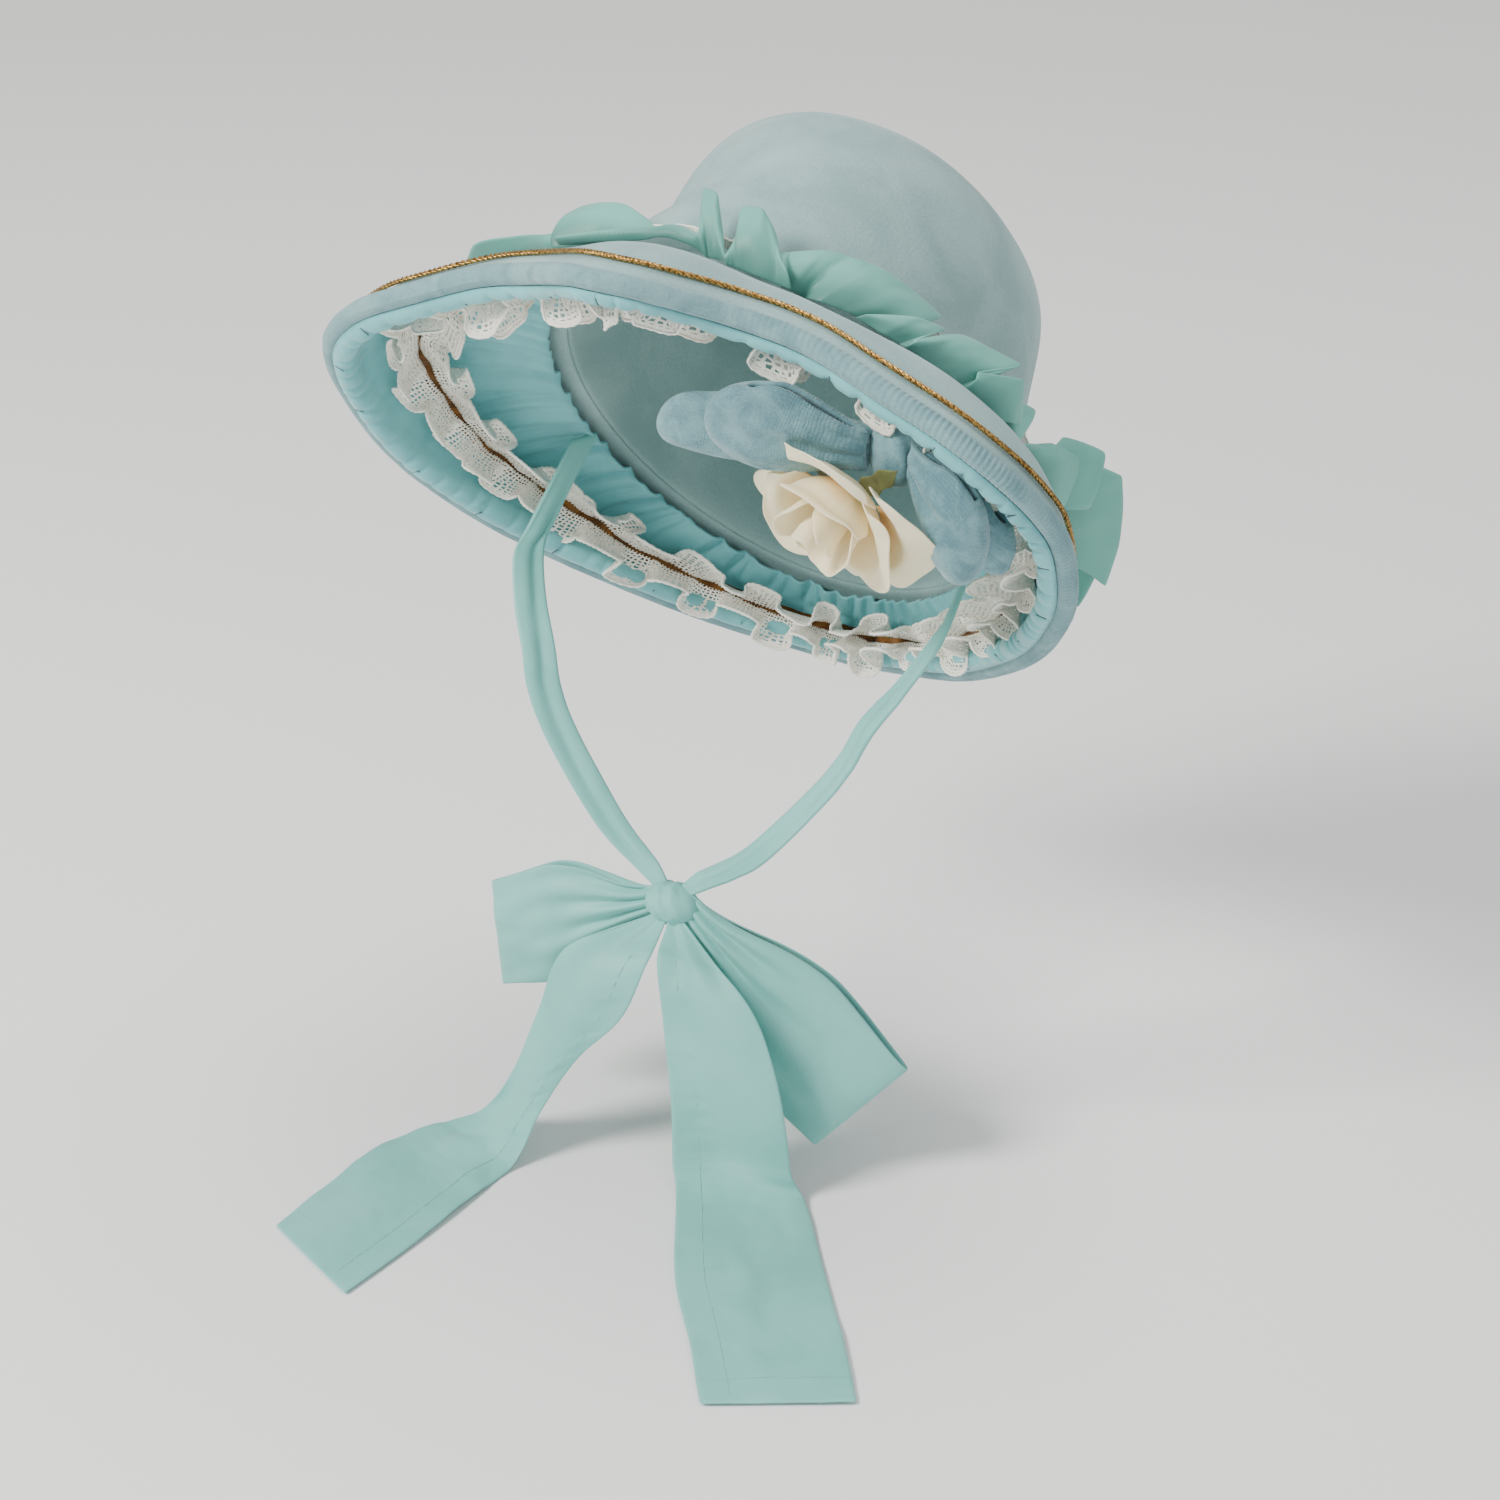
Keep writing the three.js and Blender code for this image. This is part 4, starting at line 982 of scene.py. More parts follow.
            part = shaped_grid(f"strand_{k}", Cut(turns * 8, 5, self.cord_run, 4, tube=True, levels=0),
                               tube_place(path, lambda u, v: strand * MM, Vector((0, 0.3, 1))))
            shape.from_mesh(part.data)
            bpy.data.objects.remove(part)
        dress(finished("gold_cord_strands", shape), GOLD_THREAD, "gold_cord", "gold_cord")

    def build(self) -> None:
        """Build all the velour and the cord on it."""
        self.crown()
        self.brim()
        self.edge_roll()
        self.gold_cord()


class RimRow(NamedTuple):
    """Row of the lining's rim: how far short of the brim's edge and how far under its middle."""

    share: float
    short: float
    under: float


RIM_START = 0.55
LINING_RIM = (
    RimRow(0.00, 20.0, 4.2),
    RimRow(0.25, 12.5, 6.2),
    RimRow(0.45, 8.0, 8.8),
    RimRow(0.62, 4.6, 10.2),
    RimRow(0.78, 1.8, 9.4),
    RimRow(0.90, 0.4, 6.6),
    RimRow(1.00, 1.6, 3.4),
)


class Pleat(NamedTuple):
    """Crease of the lining: its angle, depth, start and lean."""

    angle: float
    depth: float
    start: float   # level in this lining; drawn with the others to keep their order
    lean: float


@dataclass
class Lining:
    """Satin lining gathered to the join, with the small stitches that hold it to the roll."""

    form: Form
    wall: float = 1.0
    under: float = 2.4
    pleats: int = 92
    crease_reach: float = 6.0
    depth: float = 3.0
    tuck: float = 2.3
    stitch_every: int = 4
    stitch: float = 0.22
    seed: int = 5

    def creases(self) -> list[Pleat]:
        """Irregular creases round the brim, the same on each run."""
        draw = random.Random(self.seed)
        step = 360 / self.pleats
        return [Pleat(step * (i + draw.uniform(-0.3, 0.3)), draw.uniform(0.35, 1.0), draw.uniform(0.0, 0.35),
                      draw.uniform(-3.0, 3.0)) for i in range(self.pleats)]

    def build(self) -> None:
        """Build the lining and its stitches."""
        creases = self.creases()

        def fold(angle: float, v: float) -> float:
            """Depth of the creases that a point lies in.

            Args:
                angle: Angle in degrees from the front.
                v: Share from the join to the rim.

            Returns:
                The depth, up to a little over one.
            """
            deep = 0.0
            spread = mix(1.3, 0.62, v)
            fading = max(ease((1 - v) / 0.5), 0.8 * (v > RIM_START))
            nearest = round(angle * self.pleats / 360)
            for i in range(nearest - 4, nearest + 5):
                crease = creases[i % self.pleats]
                away = abs(turned(angle - crease.angle - crease.lean * (1 - v)))
                if away < self.crease_reach:
                    deep += crease.depth * math.exp(-(away / spread) ** 2) * fading
            return min(deep, 1.3)

        def place(u: float, v: float) -> Vector:
            """Point of the lining; from RIM_START on it is drawn round the rim as a puffed band.

            Args:
                u: Share of the way round.
                v: Share from the join to the rim.

            Returns:
                The point, in metres.
            """
            angle = 360 * u
            deep = fold(angle, v)
            if v < RIM_START:
                t = v / RIM_START
                part = mix(0.04, self.form.short_of_edge(angle, LINING_RIM[0].short), t)
                under = mix(self.under + 1.6, LINING_RIM[0].under, ease(t)) + self.depth * (1 - deep) * (1 - t * t)
                return self.form.worn(self.form.brim(angle, part, -under))
            t = (v - RIM_START) / (1 - RIM_START)
            short, under = (read(LINING_RIM, "share", name, t) for name in ("short", "under"))
            tuck = self.tuck * deep * math.sin(math.pi * t) ** 0.7
            return self.form.worn(self.form.brim(angle, self.form.short_of_edge(angle, short + tuck), -(under - tuck)))

        piece = shaped_grid("brim_lining_satin", Cut(1080, 30, 740, 80, self.wall, loop=True, levels=0), place)
        dress(piece, LINING_SATIN, "turquoise_satin", "brim_lining")
        self.stitches(creases)

    def stitches(self, creases: list[Pleat]) -> None:
        """Short dark stitches across the seam between the lining and the rolled edge.

        Args:
            creases: The lining's creases; the stitches lie in some of them.
        """
        shape = bmesh.new()
        for crease in creases[::self.stitch_every]:
            points = [self.form.worn(self.form.brim(crease.angle, self.form.short_of_edge(crease.angle, short), -over))
                      for short, over in ((1.3, 9.2), (0.5, 5.2))]
            middle, run = (points[0] + points[1]) / 2, points[1] - points[0]
            turn = run.to_track_quat("Z", "Y").to_matrix().to_4x4()
            bmesh.ops.create_cone(shape, cap_ends=True, segments=6, radius1=self.stitch * MM,
                                  radius2=self.stitch * MM, depth=run.length, matrix=Matrix.Translation(middle) @ turn)
        dress(finished("lining_stitches", shape, smooth=False), DARK_THREAD, "turquoise_satin")


class Fold(NamedTuple):
    """Station along the ruffle: foot and crest of the band, each an angle, way out and height."""

    foot: float
    foot_out: float
    foot_over: float
    crest: float
    crest_out: float
    crest_over: float
    crisp: float = 1.0


RUFFLE_FOLDS = (
    Fold(-124, 4, 2, -124, 22, 22),
    Fold(-119, 4, 5, -117, 21, 34),
    Fold(-114, 12, 1, -112, 30, 22),
    Fold(-108, 10, 1, -111, 26, 33),
    Fold(-104, 4, 1, -104, 20, 32),
    Fold(-99, 5, 5, -98, 22, 37),
    Fold(-94, 14, 1, -96, 34, 22),
    Fold(-90, 10, 1, -93, 30, 30),
    Fold(-84, 4, 3, -86, 22, 33),
    Fold(-78, 5, 5, -77, 26, 28),
    Fold(-72, 10, 1, -74, 30, 15),
    Fold(-69, 8, 3, -70, 28, 19, 0.6),
    Fold(-64, 12, 4, -64, 34, 15),
    Fold(-56, 10, 6, -56, 32, 16, 0.3),
    Fold(-49, 6, 6, -50, 22, 15, 0.3),
    Fold(-43, 6, 3, -43, 14, 13),
    Fold(-41, 6, 1, -39, 8, 15, 0.5),
    Fold(-38, 8, 1, -34, 5, 22),
    Fold(-30, 18, 0, -32, 9, 20),
    Fold(-25, 7, 1, -21, 5, 19, 0.4),
    Fold(-17, 5, 1, -9, 4, 8),
    Fold(-28, 18, 1, -27, 19, 3),
    Fold(-13, 10, 2, -10, 6, 8, 0.2),
    Fold(-5, 9, 4, -4, 4, 11, 0.2),
    Fold(2, 7, 3, 1, 4, 9, 0.6),
    Fold(5, 5, 1, 0, 5, 16),
    Fold(5.5, 5, 1, -1.5, 5, 26),
    Fold(7, 6, 1, 2, 5, 25),
    Fold(9, 6, 1, 6.5, 6, 12, 0.3),
    Fold(11, 8, 0, 9.5, 7, 3, 0.2),
    Fold(12, 8, 0, 10, 6, 12, 0.3),
    Fold(13, 8, 0, 8.5, 6, 22),
    Fold(17, 9, 0, 12.5, 6, 24),
    Fold(21, 9, 0, 17, 6, 17, 0.6),
    Fold(24, 11, 0, 19, 9, 10),
    Fold(22, 7, 0, 21, 6, 13),
    Fold(24, 8, 0, 27, 6, 19, 0.4),
    Fold(27, 6, 0, 31, 6, 21, 0.4),
    Fold(29, 13, 0, 37, 7, 23, 0.4),
    Fold(34, 14, 1, 45, 8, 23, 0.4),
    Fold(39, 14, 2, 54, 8, 22),
    Fold(41, 12, 1, 46, 16, 8),
    Fold(36, 14, 1, 38, 16, 4),
    Fold(41, 18, 0, 47, 14, 13),
    Fold(45, 18, 0, 54, 12, 17),
    Fold(46, 19, 0, 46, 21, 3),
    Fold(49, 19, 0, 56, 14, 18, 0.5),
    Fold(54, 19, 0, 62, 17, 21, 0.5),
    Fold(59, 20, 1, 68, 20, 24),
    Fold(60, 20, 0, 59, 24, 8),
    Fold(64, 20, 0, 68, 24, 19),
    Fold(69, 20, 0, 75, 22, 8),
    Fold(70, 16, 0, 73, 14, 15),
    Fold(72, 16, 0, 80, 14, 22),
    Fold(75, 18, 0, 77, 23, 3),
    Fold(79, 18, 0, 85, 18, 18),
    Fold(83, 20, 0, 91, 20, 25),
    Fold(87, 22, 0, 98, 24, 12),
    Fold(84, 16, 0, 89, 14, 26),
    Fold(89, 16, 0, 94, 20, 36),
    Fold(94, 20, 0, 99, 26, 20),
    Fold(95, 14, 0, 98, 16, 32),
    Fold(99, 14, 0, 101, 20, 40),
    Fold(106, 15, 0, 109, 25, 33, 0.5),
    Fold(112, 12, 0, 116, 31, 25),
    Fold(113, 8, 0, 115, 22, 30),
    Fold(124, 6, 1, 123, 30, 18),
)


@dataclass
class Ruffle:
    """Folded satin band round the join, with the lace that peeps out behind it."""

    form: Form
    width: float = 45.0
    wall: float = 0.8
    clear: float = 2.1
    per_fold: int = 8
    belly: float = 3.0

    def station(self, at: float) -> tuple[Vector, Vector]:
        """Foot and crest of the band at a station, each an angle, way out and height.

        Args:
            at: Number of the fold, with a share towards the next one.

        Returns:
            The foot and the crest.
        """
        last = len(RUFFLE_FOLDS) - 1
        i = min(int(at), last - 1)
        t = at - i
        a, b = RUFFLE_FOLDS[i], RUFFLE_FOLDS[i + 1]
        before, after = RUFFLE_FOLDS[max(i - 1, 0)], RUFFLE_FOLDS[min(i + 2, last)]
        ends = []
        for first in (0, 3):
            p0, p1, p2, p3 = (Vector(row[first:first + 3]) for row in (before, a, b, after))
            soft1, soft2 = (1 - a.crisp * 0.85), (1 - b.crisp * 0.85)
            m1 = (p2 - p0) / 2 * soft1 + (p2 - p1) * (1 - soft1)
            m2 = (p3 - p1) / 2 * soft2 + (p2 - p1) * (1 - soft2)
            t2, t3 = t * t, t ** 3
            ends.append(p1 * (2 * t3 - 3 * t2 + 1) + m1 * (t3 - 2 * t2 + t) + p2 * (3 * t2 - 2 * t3) + m2 * (t3 - t2))
        return ends[0], ends[1]

    def build(self) -> None:
        """Build the band and the lace behind it."""
        last = len(RUFFLE_FOLDS) - 1
        ends = {k: self.station(k / self.per_fold) for k in range(last * self.per_fold + 1)}

        def place(u: float, v: float) -> Vector:
            """Point of the band.

            Args:
                u: Share along the band.
                v: Share from its foot to its crest.

            Returns:
                The point, in metres.
            """
            foot, crest = ends[round(u * last * self.per_fold)]
            at = foot.lerp(crest, v)
            bulge = self.belly * 4 * v * (1 - v) * (1 - 0.5 * v)
            soft = 0.6 * wander(u * 70, v * 2)
            out = max(at.y + bulge + soft, 2.5)
            over = self.clear + max(at.z + 0.4 * bulge, 0.0)
            return self.form.worn(self.form.brim(at.x, out / self.form.depth(at.x), over))

        piece = shaped_grid("ruffle_satin", Cut(last * self.per_fold, 10, 900, self.width, self.wall), place)
        dress(piece, RUFFLE_SATIN, "turquoise_satin", "ruffle")
        Frill(self.form, "outer_lace_frill", "outer_lace", span=(-122.0, 122.0), flutes=30, width=13.0,
              part_mm=2.4, over=9.0, rise=78.0, wave=1.0, loopback=0.6, tucked=(-60.0, 40.0, 0.35)).build()


@dataclass
class Frill:
    """Row of gathered lace: it stands off a line round the brim in flutes, with a scalloped edge."""

    form: Form
    name: str
    node: str
    span: tuple[float, float] = (0.0, 360.0)
    flutes: int = 52
    width: float = 17.0
    part: float = 0.0
    part_mm: float = 0.0
    over: float = -7.0
    rise: float = -30.0
    wave: float = 4.8
    loopback: float = 3.2
    per_flute: int = 18
    toward: float = 1.0
    seed: float = 0.0
    meander: float = 0.0
    tucked: tuple[float, float, float] | None = None

    def closed(self) -> bool:
        """Whether the lace runs right round the brim."""
        return abs(self.span[1] - self.span[0]) >= 360

    def share_shown(self, angle: float) -> float:
        """Share of the lace's width that isn't tucked in behind its neighbour.

        Args:
            angle: Angle in degrees from the front.

        Returns:
            The share, one where nothing is tucked in.
        """
        if self.tucked is None:
            return 1.0
        start, end, share = self.tucked
        return mix(1.0, share, ease((angle - start) / 10) * ease((end - angle) / 10))

    def point(self, u: float, v: float) -> Vector:
        """Point of the lace for shares along its gathering line and across its width.

        Args:
            u: Share along the gathering line.
            v: Share across the lace, from the line to the scallops.

        Returns:
            The point, in the crown's frame.
        """
        angle = mix(*self.span, u)
        phase = self.flutes * u
        ring = TAU * u
        vary = (wander(math.cos(ring) * 5, math.sin(ring) * 5, self.seed) if self.closed()
                else wander(u * 9, self.seed))
        lobe = 2 * abs(phase % 1 - 0.5)
        reach = self.width * v * (1 - 0.26 * lobe ** 4) * (1 + 0.25 * vary) * self.share_shown(angle)
        swing = math.sin(math.pi * phase + 1.5 * vary)
        lift = math.radians(self.rise) + 0.16 * swing
        depth = self.form.depth(angle)
        start = self.part_mm + self.toward * self.meander * vary
        part = self.part + (start + self.toward * reach * math.cos(lift)) / depth
        crimp = 0.18 * self.wave * math.sin(TAU * 1.5 * phase + 3 * vary) * v * (1 - 0.5 * v)
        over = self.over + reach * math.sin(lift) + self.wave * (1 + 0.5 * vary) * swing * v ** 1.3 + crimp
        round_crown = max(40.0, self.form.middle(angle, part).length)
        slide = -self.loopback * math.sin(TAU * phase + 3 * vary) * v / round_crown
        return self.form.brim(angle + math.degrees(slide), part, over)

    def build(self) -> None:
        """Build the net and the thick thread along its scallops."""
        steps = self.flutes * self.per_flute
        length = self.flutes * CREAM_LACE.scallop_mm

        def place(u: float, v: float) -> Vector:
            """Point of the net."""
            return self.form.worn(self.point(u, v))

        cut = Cut(steps, 7, length, CREAM_LACE.width_mm, 0.4, loop=self.closed(), levels=0)
        piece = shaped_grid(self.name, cut, place)
        dress(piece, CREAM_LACE, "cream_lace", self.node)
        self.gathered_length()

        def edge(u: float) -> Vector:
            """Outer edge of the net."""
            return self.form.worn(self.point(u, 1.0))

        cord = shaped_grid(f"{self.name}_cord", Cut(steps * 2, 6, length, 4, tube=True, levels=0),
                           tube_place(edge, self.cord_radius, Vector((0.2, 0.3, 1))))
        dress(cord, CREAM_THREAD, "cream_lace")

    def cord_radius(self, u: float, v: float) -> float:
        """Radius of the thread along the scallops, a little knotted."""
        return (0.62 + 0.16 * math.sin(TAU * u * self.flutes * 12) + 0.1 * wander(u * 400, v * 2)) * MM

    def gathered_length(self) -> float:
        """Length in metres of the lace along the middle of its width."""
        return run_length(lambda u: self.form.worn(self.point(u, 0.5)), self.flutes * 12)


@dataclass
class InnerTrim:
    """Brown velvet ribbon on the underside, and a frill of lace on either side of it."""

    form: Form
    part: float = 0.60
    under: float = 7.6
    width: float = 8.0
    covered: float = 2.8
    lace_over: float = 1.3
    meander: float = 3.4

    def build(self) -> None:
        """Build the ribbon and both frills."""
        def place(u: float, v: float) -> Vector:
            """Point of the velvet ribbon, a little gathered.

            Args:
                u: Share of the way round.
                v: Share across the ribbon.

            Returns:
                The point, in metres.
            """
            angle = 360 * u
            half = (v - 0.5) * self.width * (1 + 0.18 * wander(u * 60, 1))
            soft = 0.5 * math.sin(TAU * 70 * u) + 0.5 * wander(u * 90, v)
            return self.form.worn(self.form.brim(angle, self.part + half / self.form.depth(angle), -self.under + soft))

        piece = shaped_grid("inner_ribbon_velvet", Cut(560, 6, 700, self.width, 1.1, loop=True, levels=0), place)
        dress(piece, BROWN_VELVET, "brown_velvet", "inner_ribbon")
        edge = self.width / 2 - self.covered
        Frill(self.form, "inner_lace_outer_frill", "inner_lace_outer", part=self.part, part_mm=edge,
              over=-self.under - self.lace_over, rise=-24, seed=2.0, meander=self.meander).build()
        Frill(self.form, "inner_lace_inner_frill", "inner_lace_inner", part=self.part, part_mm=-edge,
              over=-self.under - self.lace_over, rise=-38, toward=-1.0, flutes=44, seed=7.0,
              meander=self.meander).build()


# Bow, rose and chin ribbon

class LoopShape(NamedTuple):
    """A ribbon that runs out to a rounded fold and back, in millimetres."""

    start: Vector
    tip: Vector
    opening: Vector
    open: float
    width_from: Vector
    width_to: Vector
    width: float
    pinch: float
    apart: float
    crowning: float = 0.05
    gathers: int = 3
    gather_depth: float = 1.2
    seed: float = 0.0
    tip_round: float = 0.0
    closing: float = 0.0
    softness: float = 0.9
    end_arc: float = 0.0


def loop_point(loop: LoopShape, u: float, v: float) -> Vector:
    """Point of a bow's loop.

    Args:
        loop: The loop's shape.
        u: Share of the way out and back.
        v: Share across the ribbon.

    Returns:
        The point, in millimetres.
    """
    turn = math.pi * u
    out = math.sin(turn) ** 0.8
    face = math.cos(turn)
    t = 2 * v - 1
    run = loop.tip - loop.start
    gap = loop.apart + loop.open * out ** 0.6 * (1 - loop.closing * t ** 4)
    arc = loop.end_arc * loop.width * (1 - math.sqrt(1 - 0.95 * t * t)) * out ** 4
    middle = loop.start + run * out - run.normalized() * arc + loop.opening * (gap * face)
    side = loop.width_from.lerp(loop.width_to, out).normalized()
    half = loop.width / 2 * mix(loop.pinch, 1, ease(out * 1.5)) * (1 - loop.tip_round * ease((out - 0.6) / 0.4))
    near_knot = (1 - out) ** 1.2 * ease(out * 3 + 0.3)
    gather = loop.gather_depth * math.cos(t * math.pi * loop.gathers + loop.seed) * near_knot
    soft = loop.softness * wander(out * 2.2 + loop.seed, t * 1.6, u) * ease(out * 2)
    return middle + side * (t * half) + loop.opening * (
        (-loop.crowning * loop.width * t * t) * face + (gather + soft) * (1 if face >= 0 else -1) * abs(face) ** 0.5)


class BowLoop(NamedTuple):
    """Loop of the velour bow: its node, where its tip lies, and its sizes as shares of the reach."""

    node: str
    tip: Vector
    width: float
    opening: float
    side: int
    rounded: float


BOW_LOOPS = (
    BowLoop("bow_loop_left_back", Vector((-1.00, -0.26, 0.06)), 0.32, 0.07, 1, 0.45),
    BowLoop("bow_loop_left_front", Vector((-0.68, -0.40, 0.20)), 0.40, 0.11, -1, 0.50),
    BowLoop("bow_loop_right_front", Vector((0.44, -0.06, -0.40)), 0.44, 0.13, -1, 0.25),
    BowLoop("bow_loop_right_back", Vector((0.43, 0.24, -0.50)), 0.28, 0.07, 1, 0.35),
)


@dataclass
class VelourBow:
    """Soft bow of velour ribbon under the right front of the brim."""

    form: Form
    wall: float = 2.6
    reach: float = 82.0
    layer: float = 4.6

    def build(self) -> None:
        """Build the four loops and the knot between them."""
        low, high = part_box("bow_knot")
        knot = (low + high) / 2 / MM - self.form.hollow
        half = (high.x - low.x) / 2 / MM
        for k, loop in enumerate(BOW_LOOPS):
            away = math.copysign(1, loop.tip.x)
            shape = LoopShape(
                start=knot + Vector((away * (half - 1), loop.side * self.layer, 0)), tip=knot + loop.tip * self.reach,
                opening=Vector((0, -1, 0)), open=self.reach * loop.opening, width_from=Vector((0, 0, -1)),
                width_to=Vector((-0.35, 0, -1)).normalized(), width=self.reach * loop.width, pinch=0.45,
                apart=self.wall / 2 + 0.4, crowning=0.06, gathers=3, gather_depth=1.8, seed=2.0 * k,
                tip_round=0.4 * loop.rounded, closing=0.7, softness=2.8, end_arc=0.42)

            def place(u: float, v: float, shape: LoopShape = shape) -> Vector:
                """Point of the loop."""
                return self.form.hung(loop_point(shape, u, v))

            cut = Cut(64, 16, 2 * self.reach, self.reach * loop.width, self.wall)
            piece = shaped_grid(f"{loop.node}_velour", cut, place)
            dress(piece, BOW_VELOUR, "bow_velour", loop.node)
        self.knot(knot, (high - low) / 2)

    def knot(self, middle: Vector, half: Vector) -> None:
        """Band of gathered velour round the middle of the bow.

        Args:
            middle: Middle of the knot, in the hollow's frame.
            half: Half of its size in metres on each axis.
        """
        def place(x: float, y: float, z: float) -> Vector:
            """Point of the knot, pleated along its height.

            Args:
                x: Place across on the unit ball.
                y: Place in depth on the unit ball.
                z: Place in height on the unit ball.

            Returns:
                The point, in metres.
            """
            pleat = 1 + 0.07 * math.cos(7 * math.atan2(y, x) + 3 * z) * (1 - z * z)
            squared = Vector((x * pleat, y * pleat, math.copysign(abs(z) ** 0.85, z)))
            return self.form.hung(middle) + Vector([a * b for a, b in zip(squared, half)])

        piece = shaped_ball("bow_knot_velour", 48, 28, place)
        dress(piece, BOW_VELOUR, "bow_velour", "bow_knot")


class Petal(NamedTuple):
    """Petal of the rose: direction and span in degrees, and radius, rise and curl as shares."""

    angle: float
    span: float
    radius: float
    rise: float
    curl: float


ROSE_PETALS = (
    Petal(20, 170, 0.34, 0.84, 0.05),
    Petal(170, 165, 0.45, 0.86, 0.10),
    Petal(300, 160, 0.57, 0.84, 0.18),
    Petal(70, 155, 0.70, 0.80, 0.30),
    Petal(200, 150, 0.83, 0.73, 0.42),
    Petal(330, 145, 0.95, 0.64, 0.54),
    Petal(100, 145, 1.05, 0.55, 0.62),
    Petal(225, 132, 1.13, 0.45, 0.70),
    Petal(345, 124, 1.18, 0.35, 0.74),
)
PETAL_SOLIDS = 7   # petals from the heart outwards that have a solid


@dataclass
class Rose:
    """Cloth rose: curled petals round a bud, on a calyx with green and reddened sepals."""

    form: Form
    diameter: float = 52.0
    depth: float = 34.0
    floor: float = 4.5
    turn: float = 16.0
    dip: float = 27.0
    beside: float = 14.0
    below: float = 15.0

    def __post_init__(self) -> None:
        """Work out the rose's place from the bow's knot."""
        low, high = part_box("bow_knot")
        knot = (low + high) / 2 / MM - self.form.hollow
        dip, turn = math.radians(self.dip), math.radians(self.turn)
        facing = Vector((-math.sin(turn) * math.cos(dip), -math.cos(turn) * math.cos(dip), -math.sin(dip)))
        side = (Vector((1, 0, 0)) - facing * facing.x).normalized()
        up = facing.cross(side)
        base = knot + Vector((-self.beside, -2, -self.below))
        self.knot_foot = knot + Vector((0, 0, -(high.z - low.z) / 2 / MM + 1))
        self.place = Matrix.Translation(base) @ Matrix((side, up, facing)).transposed().to_4x4()

    def set_out(self, point: Vector) -> Vector:
        """Point of the rose's own frame in the bonnet's frame, in metres."""
        return self.form.hung(self.place @ point)

    def petal(self, name: str, petal: Petal, order: int, nodes: Sequence[str]) -> None:
        """One petal: a cupped sheet whose rim waves and curls back.

        Args:
            name: Name of the piece.
            petal: Form of the petal.
            order: Its place in the order from the heart outwards.
            nodes: Solids that it takes the place of, if any.
        """
        radius = self.diameter / 2
        foot = (0.10 + 0.056 * order) * radius
        base = self.floor + 0.9

        def place(u: float, v: float) -> Vector:
            """Point of the petal: it leaves the foot outwards, stands up and rolls back at its rim.

            Args:
                u: Share across the petal.
                v: Share from its foot to its rim.

            Returns:
                The point, in metres.
            """
            t = 2 * u - 1
            reach = v * (1 - 0.26 * abs(t) ** 3)
            broad = mix(0.45, 1.0, ease(v * 1.4)) * (1 - 0.16 * ease((v - 0.7) / 0.3) * t * t)
            angle = math.radians(petal.angle + petal.span / 2 * t * broad)
            rim = 1 - 0.12 * t * t + 0.05 * wander(t * 2.5, order) + 0.03 * math.sin(7 * t + order)
            out = mix(foot, petal.radius * radius, 1 - (1 - reach) ** 2.4)
            roll = ease((reach - 0.62) / 0.38) ** 1.5
            curl = petal.curl * radius * 0.55 * roll * (0.8 + 0.2 * abs(t))
            wave = 0.07 * radius * math.sin(5.5 * t + 1.7 * order) * reach ** 3 * (0.5 + petal.curl)
            drop = 0.36 * petal.curl * radius * roll * (1 + 0.5 * math.sin(4 * t + order))
            r = out + curl + wave
            z = base + (self.depth - self.floor) * petal.rise * rim * reach ** 1.25 - drop
            return self.set_out(Vector((r * math.cos(angle), r * math.sin(angle), z)))

        piece = shaped_grid(name, Cut(30, 18, petal.span / 360 * TAU * radius * petal.radius + 8, 30, 0.7), place)
        dress(piece, ROSE_CLOTH, "rose_cloth", *nodes)
        flat = self.flat_size(place)

    def flat_size(self, place: Place) -> tuple[float, float]:
        """Width and length in metres of a petal, measured across its middle and along it.

        Args:
            place: Gives a point in metres for shares across and along.

        Returns:
            Width and length, neither under the least flat size.
        """
        width, length = run_length(lambda u: place(u, 0.6), 12), run_length(lambda v: place(0.5, v), 12)
        return max(width, LEAST_FLAT), max(length, LEAST_FLAT)

    def heart(self) -> None:
        """Tightly rolled middle of the flower, a spiral sheet."""
        turns = 2.3

        def place(u: float, v: float) -> Vector:
            """Point of the rolled sheet.

            Args:
                u: Share along the rolled sheet.
                v: Share of its height.

            Returns:
                The point, in metres.
            """
            angle = TAU * turns * u + 0.6
            swell = mix(0.55, 1.0, math.sin(v * math.pi / 2))
            open_out = mix(1.2, 5.6, u) * swell * mix(1.0, 0.82, ease((v - 0.7) / 0.3))
            z = self.floor + 0.5 + (self.depth - self.floor) * v * mix(0.80, 0.93, u) + 0.5 * math.sin(9 * u) * v
            return self.set_out(Vector((open_out * math.cos(angle), open_out * math.sin(angle), z)))

        piece = shaped_grid("rose_heart_cloth", Cut(72, 10, 60, 30, 0.5), place)
        dress(piece, ROSE_CLOTH, "rose_cloth", "rose_bud")

    def leaf(self, name: str, angle: float, length: float, finish: Finish, node: str, droop: float) -> None:
        """Pointed sepal with a raised middle rib and a ragged outline.

        Args:
            name: Name of the piece.
            angle: Direction in degrees in the rose's own frame.
            length: Length as a share of the rose's radius.
            finish: Finish of the sepal.
            node: Solid that it takes the place of.
            droop: How far its tip sinks, as a share of the radius.
        """
        radius = self.diameter / 2
        turn = math.radians(angle)
        out, beside = Vector((math.cos(turn), math.sin(turn), 0)), Vector((-math.sin(turn), math.cos(turn), 0))

